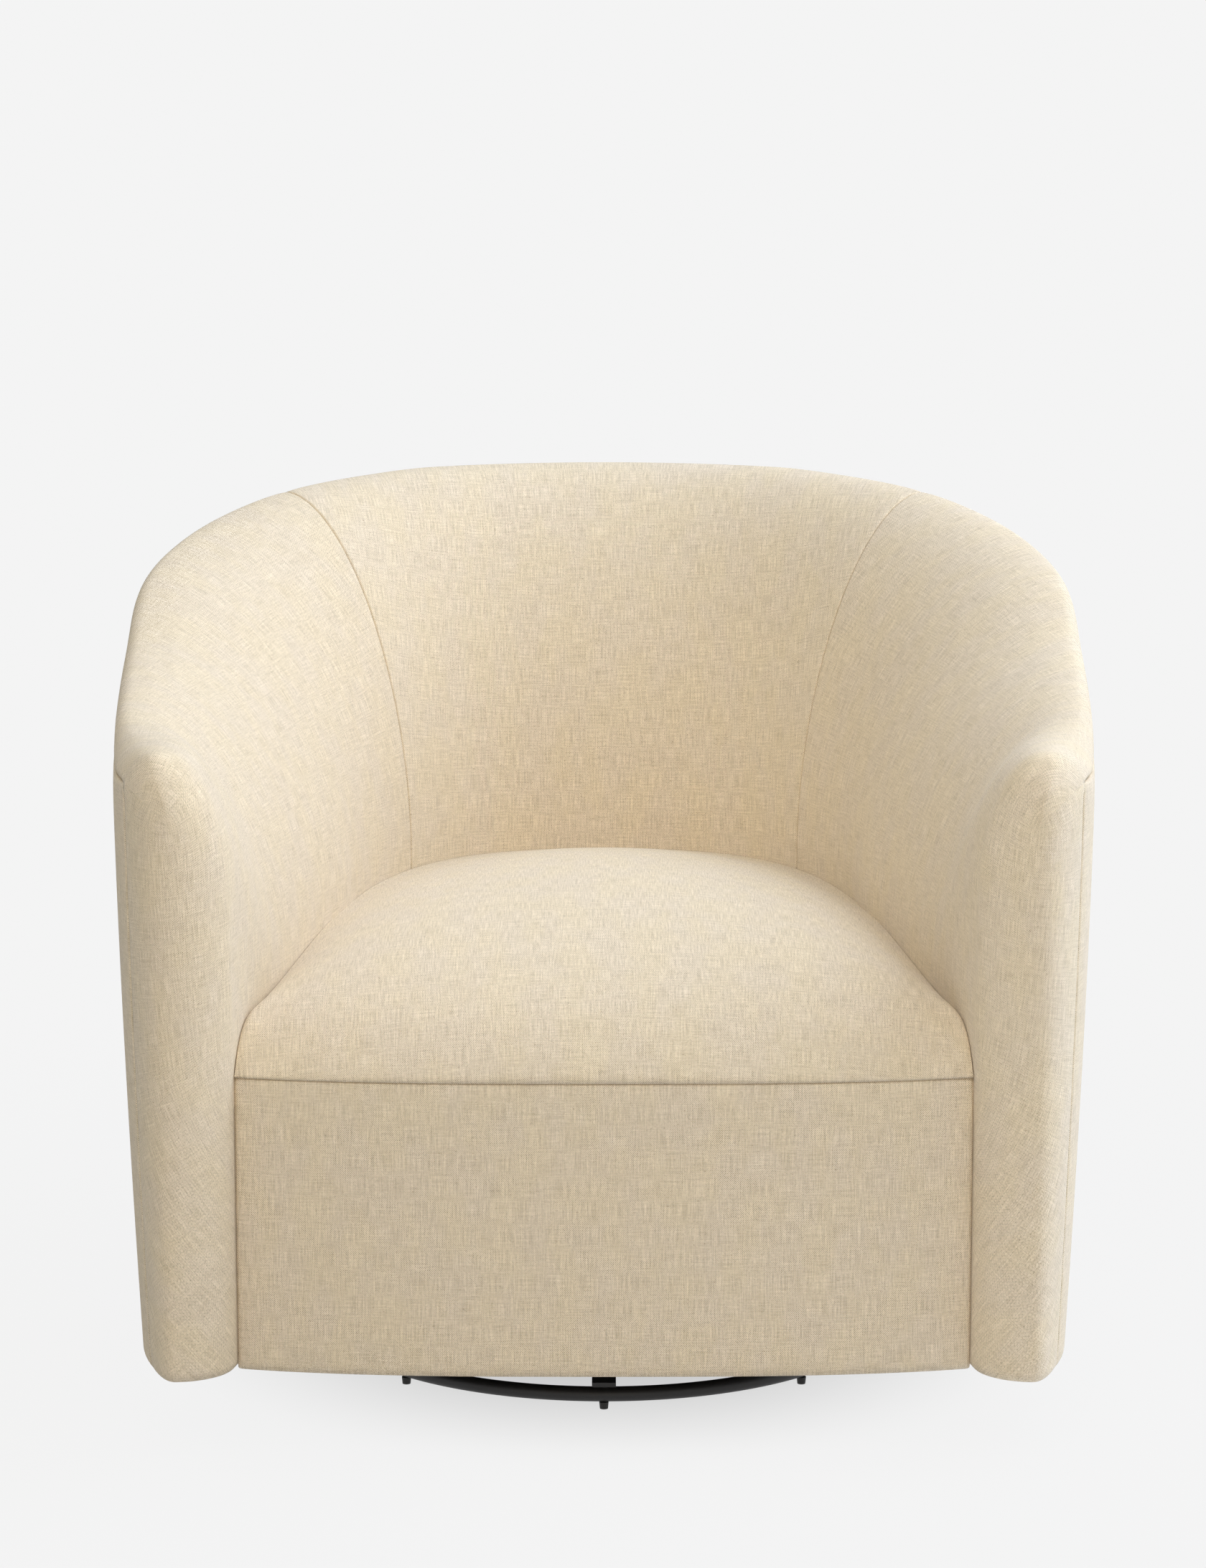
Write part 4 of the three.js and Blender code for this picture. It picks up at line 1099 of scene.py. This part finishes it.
# Ends the tree, and makes a finished piece of the mesh that it gives with these sizes
def takeShape(name, tree, shape, sizes, body, finish, slot, *nodes, start=None):
    real = output(tree, "GeometryNodeRealizeInstances", Geometry=shape)
    painted = output(tree, "GeometryNodeSetMaterial", Geometry=real, Material=finish)
    tree.links.new(painted, tree.nodes.new("NodeGroupOutput").inputs[0])
    piece = addObject(name, start or bpy.data.meshes.new(name))
    modifier = piece.modifiers.new("shape", "NODES")
    modifier.node_group = tree
    for item in tree.interface.items_tree:
        if item.in_out == "INPUT" and item.name in sizes:
            modifier[item.identifier] = sizes[item.name]
    made = piece.evaluated_get(bpy.context.evaluated_depsgraph_get())
    mesh = bpy.data.meshes.new_from_object(made)
    piece.modifiers.remove(modifier)
    piece.data = mesh
    mesh.shade_smooth()
    mesh.set_sharp_from_angle(angle=sharpAngle)
    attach(piece, body)
    dress(faceOut(piece), finish, slot, *nodes)


def shifted(tree, shape, **offset):
    return output(tree, "GeometryNodeTransform", Geometry=shape, Translation=vector(tree, **offset))


def circle(tree, points, radius):
    return output(tree, "GeometryNodeCurvePrimitiveCircle", Resolution=points, Radius=radius)


def sweep(tree, line, profile, **more):
    return output(tree, "GeometryNodeCurveToMesh", Curve=line, Profile_Curve=profile, **more)


def repeat(tree, points, shape, **more):
    return output(tree, "GeometryNodeInstanceOnPoints", Points=points, Instance=shape, **more)


def spotsRound(tree, count, radius):
    return output(tree, "GeometryNodeMeshCircle", Vertices=count, Radius=radius)


base = {
    "ringRadius": 236 * mm,
    "tube": 12.6 * mm,
    "glideDiameter": 8 * mm,
    "glideHeight": 5.8 * mm,
    "glideTaper": 0.86,
    "glideCount": 8,
    "gap": 0.3 * mm,
    "trackRadius": 50 * mm,
    "ballDiameter": 10 * mm,
    "ballCount": 10,
    "cageThickness": 3 * mm,
    "cageWidth": 16 * mm,
    "spokeTop": 37.7 * mm,
    "raceHeight": 8 * mm,
    "grooveDepth": 1.5 * mm,
    "ringPoints": 192,
    "tubePoints": 28,
    "glidePoints": 32,
    "ballPoints": 32,
    "cagePoints": 128,
}


def makeRing():
    sizes = {
        "Ring Radius": base["ringRadius"],
        "Tube Radius": base["tube"] / 2,
        "Height": base["glideHeight"] + base["gap"] + base["tube"] / 2,
    }
    tree, socket = startShape("ring_of_tube", sizes)
    line = circle(tree, base["ringPoints"], socket["Ring Radius"])
    tube = sweep(tree, line, circle(tree, base["tubePoints"], socket["Tube Radius"]))
    shape = shifted(tree, tube, z=socket["Height"])
    takeShape("ring_tube", tree, shape, sizes, "base", blackSteel, "black_steel", "base_ring")


def makeGlides():
    sizes = {
        "Glide Count": base["glideCount"],
        "Ring Radius": base["ringRadius"],
        "Glide Radius": base["glideDiameter"] / 2,
        "Glide Height": base["glideHeight"],
    }
    tree, socket = startShape("glides_on_ring", sizes)
    radius = socket["Glide Radius"]
    foot = output(
        tree, "GeometryNodeMeshCone", Vertices=base["glidePoints"], Radius_Top=radius,
        Radius_Bottom=maths(tree, "MULTIPLY", radius, base["glideTaper"]), Depth=socket["Glide Height"],
    )
    shape = repeat(tree, spotsRound(tree, socket["Glide Count"], socket["Ring Radius"]), foot)
    names = (f"glide_{i + 1}" for i in range(base["glideCount"]))
    takeShape("glides", tree, shape, sizes, "base", blackPlastic, "black_plastic", *names)


def makeBalls():
    raceTop = base["spokeTop"] + base["gap"] + base["raceHeight"]
    sizes = {
        "Ball Count": base["ballCount"],
        "Track Radius": base["trackRadius"],
        "Ball Radius": base["ballDiameter"] / 2,
        "Cage Width": base["cageWidth"],
        "Height": raceTop - base["grooveDepth"] + base["gap"] + base["ballDiameter"] / 2,
    }
    tree, socket = startShape("balls_in_cage", sizes)
    ball = output(
        tree, "GeometryNodeMeshUVSphere",
        Segments=base["ballPoints"], Rings=base["ballPoints"] // 2, Radius=socket["Ball Radius"],
    )
    balls = repeat(tree, spotsRound(tree, socket["Ball Count"], socket["Track Radius"]), ball)
    strip = output(
        tree, "GeometryNodeCurvePrimitiveQuadrilateral",
        Width=socket["Cage Width"], Height=base["cageThickness"],
    )
    cage = sweep(tree, circle(tree, base["cagePoints"], socket["Track Radius"]), strip)
    both = tree.nodes.new("GeometryNodeJoinGeometry")
    for part in (balls, cage):
        tree.links.new(part, both.inputs[0])
    shape = shifted(tree, both.outputs[0], z=socket["Height"])
    body = "ball_retainer"
    takeShape("balls_and_cage", tree, shape, sizes, body, brightSteel, "bright_steel", "ball_retainer")


spring = {
    "wire": 4 * mm,
    "count": 4,
    "rows": 17,
    "arch": 11 * mm,
    "bend": 2.05,
    "bendSteps": 7,
    "wirePoints": 10,
}


# Springs of one bent wire each, in the places of the CAD's springs
def makeSprings():
    names = [f"seat_spring_{i + 1}" for i in range(spring["count"])]
    lows, highs = zip(*(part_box(name) for name in names))
    half = spring["wire"] / 2
    start, end = lows[0][1] + half, highs[0][1] - half
    sizes = {
        "Spring Count": spring["count"],
        "Point Count": 2 * spring["rows"],
        "Width": highs[0][0] - lows[0][0] - spring["wire"],
        "Pitch": lows[1][0] - lows[0][0],
        "Start": start,
        "Length": end - start,
        "Arch": spring["arch"],
        "Wire Radius": half,
        "Height": lows[0][2] + half,
    }
    tree, socket = startShape("sinuous_springs", sizes)
    calc = lambda operation, *values: maths(tree, operation, *values)
    line = tree.nodes.new("GeometryNodeCurvePrimitiveLine").outputs[0]
    bent = output(tree, "GeometryNodeResampleCurve", Curve=line, Count=socket["Point Count"])
    index = tree.nodes.new("GeometryNodeInputIndex").outputs[0]
    rows = calc("SUBTRACT", calc("DIVIDE", socket["Point Count"], 2.0), 1.0)
    row = calc("DIVIDE", calc("FLOOR", calc("DIVIDE", index, 2.0)), rows)
    side = calc("SIGN", calc("COSINE", calc("MULTIPLY", calc("ADD", index, 0.5), quarterTurn)))
    x = calc("MULTIPLY", calc("MULTIPLY", side, socket["Width"]), 0.5)
    y = weighed(tree, socket["Start"], (row, socket["Length"]))
    z = weighed(tree, socket["Height"], (calc("SINE", calc("MULTIPLY", row, math.pi)), socket["Arch"]))
    put = output(tree, "GeometryNodeSetPosition", Geometry=bent, Position=vector(tree, x, y, z))
    radius = calc("DIVIDE", socket["Length"], calc("MULTIPLY", rows, spring["bend"]))
    fillet = output(
        tree, "GeometryNodeFilletCurve", {"mode": "POLY"},
        Curve=put, Radius=radius, Count=spring["bendSteps"],
    )
    profile = circle(tree, spring["wirePoints"], socket["Wire Radius"])
    wire = sweep(tree, fillet, profile, Fill_Caps=True)
    spots = output(
        tree, "GeometryNodeMeshLine", Count=socket["Spring Count"], Offset=vector(tree, x=socket["Pitch"]),
    )
    gaps = calc("SUBTRACT", socket["Spring Count"], 1.0)
    first = calc("MULTIPLY", gaps, calc("MULTIPLY", socket["Pitch"], -0.5))
    shape = repeat(tree, shifted(tree, spots, x=first), wire)
    takeShape("sinuous_springs", tree, shape, sizes, "seat", brightSteel, "bright_steel", *names)


strap = {
    "width": 48 * mm,
    "pitch": 62 * mm,
    "thickness": 1.1 * mm,
    "weave": 0.5 * mm,
    "gap": 1 * mm,
    "crossCount": 6,
    "crossShare": 0.8,
    "weaveSteps": 8,
    "widthPoints": 5,
    "threadStep": 0.3,
}


# Straps stretched over the frame behind a pad, over and under each other
def makeWebbing(name, start, end, node):
    bottom = carcass["deckBottom"]
    count = max(2, round((end - start) / strap["pitch"]))
    spacing = (end - start) / count
    rows = strap["crossCount"]
    straps = []

    def band(paths, shares, lift):
        place = station(paths)
        z = blend(place.railLine - carcass["topPadding"], bottom, shares)
        inset = webLine(place, z) - carcass["gap"] - (strap["thickness"] + strap["weave"]) / 2 + lift
        front, back = (wallPoints(place, inset + side * strap["thickness"] / 2, z) for side in (1, -1))
        x, y = runLengths(front, 0), runLengths(front, 1)
        straps.append(sheetOf(name, front, back, pointsOf(x, y) + (len(straps) + 1) * strap["threadStep"]))
        return x[-1].mean() * y[:, -1].mean()

    area = 0
    half = strap["width"] / 2
    for i in range(count):
        middle = start + spacing * (i + 0.5)
        shares = np.linspace(0, 1, strap["weaveSteps"] * rows + 1)[None]
        lift = strap["weave"] * np.sin(math.pi * (shares * rows + i))
        area += band(np.linspace(middle - half, middle + half, strap["widthPoints"]), shares, lift)
    paths = np.linspace(start, end, strap["weaveSteps"] * count + 1)
    half = half / (barrel["armHeight"] - bottom) * strap["crossShare"]
    for j in range(rows):
        middle = (j + 0.5) / rows
        shares = np.linspace(middle - half, middle + half, strap["widthPoints"])[None]
        lift = -strap["weave"] * np.sin(math.pi * ((paths[:, None] - start) / spacing + j))
        area += band(paths, shares, lift)
    selectOnly(*straps)
    bpy.ops.object.join()
    piece = straps[0]
    piece.name = name
    dress(piece, hessian, "hessian", node)


deck = {
    "rings": 36,
    "ringPower": 1.3,
    "edgeRadius": 2.5 * mm,
    "edgePower": 40,
    "sag": 1.2 * mm,
    "sagPower": 4,
    "springSpace": 84 * mm,
}


def makeDeck():
    outline = wellOutline(2 * deck["rings"], carcass["boardFront"], seatInset, boardLine)
    middle = np.array([0, cushion["crownPlace"]])
    _, share, flat = squareGrid(deck["rings"], outline, middle, deck["ringPower"])
    rounding = deck["edgeRadius"] * share ** deck["edgePower"]
    ripple = np.sin(flat[..., 0] * 2 * math.pi / deck["springSpace"]) ** 2
    sag = deck["sag"] * ripple * (1 - share ** deck["sagPower"])
    heights = carcass["deckTop"] - sag - rounding, carcass["deckBottom"] + rounding
    piece = sheetOf("deck_pad", *(raised(flat, z) for z in heights), flat)
    dress(piece, hessian, "hessian", "seat_deck")


dust = {
    "top": 75.6 * mm,
    "thickness": 0.8 * mm,
    "sag": 1.6 * mm,
    "pucker": 0.7 * mm,
    "puckerPower": 6,
    "opening": 89.5 * mm,
    "points": 48,
    "steps": 22,
    "staplePitch": 38 * mm,
    "stapleLength": 10 * mm,
    "stapleWidth": 1.2 * mm,
    "stapleLine": 0.982,
    "stapleDrop": 0.5 * mm,
}


def dustInset(place):
    return outerFace(place, hemTop) + carcass["coverThickness"] + carcass["hemWidth"] + 2 * carcass["gap"]


# Cloth under the bottom panel, with a square opening for the swivel, and its staples
def makeDustCover():
    count, square = dust["points"], dust["opening"]
    outline = wellOutline(count, carcass["boardFront"], dustInset, boardLine)
    corners = np.array([[1, -1], [1, 1], [-1, 1], [-1, -1]]) * square
    hole = pointsAlong(corners, np.arange(4 * count) / count)
    share = np.linspace(0, 1, dust["steps"] + 1)[:, None]
    flat = blend(hole, outline, share[..., None])
    along = np.linalg.norm(np.diff(outline, axis=0, append=outline[:1]), axis=1).cumsum()
    pucker = dust["pucker"] * (0.5 + 0.5 * np.cos(2 * math.pi * along / dust["staplePitch"]))
    z = dust["top"] - dust["sag"] * np.sin(math.pi * share) - pucker * share ** dust["puckerPower"]
    front = raised(flat, z)
    piece = sheetOf("dust_cloth", front, front - [0, 0, dust["thickness"]], flat, closed=True)
    size = np.ptp(outline, axis=0)
    dress(piece, dustCloth, "dust_cloth", "dust_cover")
    loop = blend(outline.mean(0), outline, dust["stapleLine"])
    level = dust["top"] - dust["thickness"] - dust["stapleDrop"]
    mesh = bpy.data.meshes.new("staple_line")
    edges = [(i, (i + 1) % len(loop)) for i in range(len(loop))]
    mesh.from_pydata([(*point, level) for point in loop.tolist()], edges, [])
    sizes = {"Pitch": dust["staplePitch"], "Length": dust["stapleLength"], "Width": dust["stapleWidth"]}
    tree, socket = startShape("staples_on_edge", sizes)
    curve = output(tree, "GeometryNodeMeshToCurve", Mesh=socket["Geometry"])
    spots = addNode(
        tree, "GeometryNodeCurveToPoints", {"mode": "LENGTH"}, Curve=curve, Length=socket["Pitch"],
    )
    size = vector(tree, socket["Length"], socket["Width"], socket["Width"])
    staple = output(tree, "GeometryNodeMeshCube", Size=size)
    turn = output(tree, "FunctionNodeAlignRotationToVector", {"axis": "X"}, Vector=spots.outputs["Tangent"])
    shape = repeat(tree, spots.outputs["Points"], staple, Rotation=turn)
    takeShape("dust_cloth_staples", tree, shape, sizes, "seat", brightSteel, "bright_steel", start=mesh)


makePads()
print("pads built")
backEnd, armStart = seamPath - cover["gap"], seamPath + cover["gap"]
makeCover("outside_back_cloth", -backEnd, backEnd, (0.4, 0.7), "outside_back_cover")
makeCover("outside_arm_cloth_right", armStart, armFrontPath, (1.1, 2.3), "outside_arm_cover_right")
makeCover("outside_arm_cloth_left", -armFrontPath, -armStart, (6.2, 3.3), "outside_arm_cover_left")
print("covers built")
makeCushion()
makeApron()
print("cushion and apron built")
backEnd, armStart = seamPath - strap["gap"], seamPath + strap["gap"]
armEnd = backSpan + carcass["boardBack"] - strap["gap"]
makeWebbing("back_webbing", -backEnd, backEnd, "inside_back_webbing")
makeWebbing("arm_webbing_right", armStart, armEnd, "inside_arm_webbing_right")
makeWebbing("arm_webbing_left", -armEnd, -armStart, "inside_arm_webbing_left")
makeDeck()
makeDustCover()
print("webbing, deck and dust cover built")
makeRing()
makeGlides()
makeBalls()
makeSprings()
print("base and springs built")
finishes = {"plywood": plywood, "bright_steel": brightSteel, "black_steel": blackSteel}
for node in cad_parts.values():
    for holder in node.material_slots:
        holder.material = finishes.get(holder.material.name, holder.material)

# Stage: a pale floor that meets a pale background, and soft lamps round the chair
stage = {
    "backdrop": 0.904,
    "ambient": 0.02,
    "floorColour": 0.8,
    "floorSize": 120,
    "nearFloor": 0.08,
    "midFloor": 0.4,
    "farFloor": 1.5,
    "nearGlow": 0.62,
    "midGlow": 0.97,
    "aim": (0, 0, 0.4),
    "lampDistance": 3.2,
    "lampSize": 1.8,
}
# Azimuth to the right of the front, elevation, power, and red and blue beside green of each lamp
lamps = {
    "front": (0, 45, 35.1, 1.04, 0.94),
    "low_front": (0, 15, 3.6, 1.6, 0.2),
    "front_right": (38, 46, 14.7, 0.93, 1.06),
    "front_left": (-40, 45, 9.8, 0.95, 1.08),
    "right": (90, 50, 40.4, 0.88, 1.18),
    "low_right": (90, 20, 42.4, 0.95, 1.08),
    "left": (-90, 50, 15.0, 0.96, 0.99),
    "low_left": (-60, 20, 3.4, 1.2, 0.5),
    "rear_right": (150, 50, 28.7, 0.95, 1.14),
}


def makeLamp(name, azimuth, elevation, power, red, blue):
    lamp = addObject(name, bpy.data.lights.new(name, "AREA"))
    turn, rise = math.radians(azimuth), math.radians(elevation)
    away = Vector((math.sin(turn) * math.cos(rise), -math.cos(turn) * math.cos(rise), math.sin(rise)))
    lamp.location = Vector(stage["aim"]) + away * stage["lampDistance"]
    lamp.rotation_euler = away.to_track_quat("Z", "Y").to_euler()
    lamp.data.size = stage["lampSize"]
    lamp.data.energy = power
    lamp.data.color = (red, 1, blue)


# 1 for what the camera sees itself, in a gloss or through glass
def seenDirectly(tree):
    path = tree.nodes.new("ShaderNodeLightPath").outputs
    seen = maths(tree, "MAXIMUM", path["Is Camera Ray"], path["Is Glossy Ray"])
    return maths(tree, "MAXIMUM", seen, path["Is Transmission Ray"])


# White where the picture looks past the chair, and an even pale light for the rest
def makeWorld():
    world = bpy.data.worlds.new("studio")
    bpy.context.scene.world = world
    world.use_nodes = True
    tree = world.node_tree
    light = addNode(tree, "ShaderNodeMix", Factor=seenDirectly(tree))
    feed(tree, light.inputs[2], stage["ambient"])
    feed(tree, light.inputs[3], stage["backdrop"])
    feedNode(tree, tree.nodes["Background"], Color=(1, 1, 1), Strength=light.outputs[0])


def makeFloor():
    bpy.ops.mesh.primitive_plane_add(size=stage["floorSize"])
    floor = bpy.context.object
    floor.name = "floor"
    made, tree, shader = material("floor_paint")
    feedNode(tree, shader, Base_Color=(stage["floorColour"],) * 3, Roughness=1, Specular_IOR_Level=0)
    length = addNode(tree, "ShaderNodeVectorMath", {"operation": "LENGTH"}, Vector=ownPlace(tree))
    away = length.outputs["Value"]
    near = ramp(tree, away, stage["nearFloor"], stage["midFloor"])
    far = ramp(tree, away, stage["midFloor"], stage["farFloor"])
    glowing = weighed(
        tree, stage["nearGlow"], (near, stage["midGlow"] - stage["nearGlow"]), (far, 1 - stage["midGlow"]),
    )
    glow = output(tree, "ShaderNodeEmission", Color=(1, 1, 1), Strength=stage["backdrop"])
    mix = tree.nodes.new("ShaderNodeMixShader")
    sources = maths(tree, "MULTIPLY", glowing, seenDirectly(tree)), shader.outputs[0], glow
    for socket, value in zip(mix.inputs, sources):
        tree.links.new(value, socket)
    tree.links.new(mix.outputs[0], tree.nodes["Material Output"].inputs["Surface"])
    floor.data.materials.append(made)


makeFloor()
makeWorld()
for name, lamp in lamps.items():
    makeLamp(name, *lamp)

# The picture's own viewpoint
camera = addObject("camera", bpy.data.cameras.new("camera"))
camera.location = (0, -4.2, 1.26)
camera.rotation_euler = (math.radians(79.54), 0, 0)
camera.data.sensor_width = 36
camera.data.lens = 113.865
camera.data.shift_x = -0.0006
camera.data.clip_end = 200
bpy.context.scene.camera = camera
bpy.context.scene.view_settings.view_transform = "Standard"
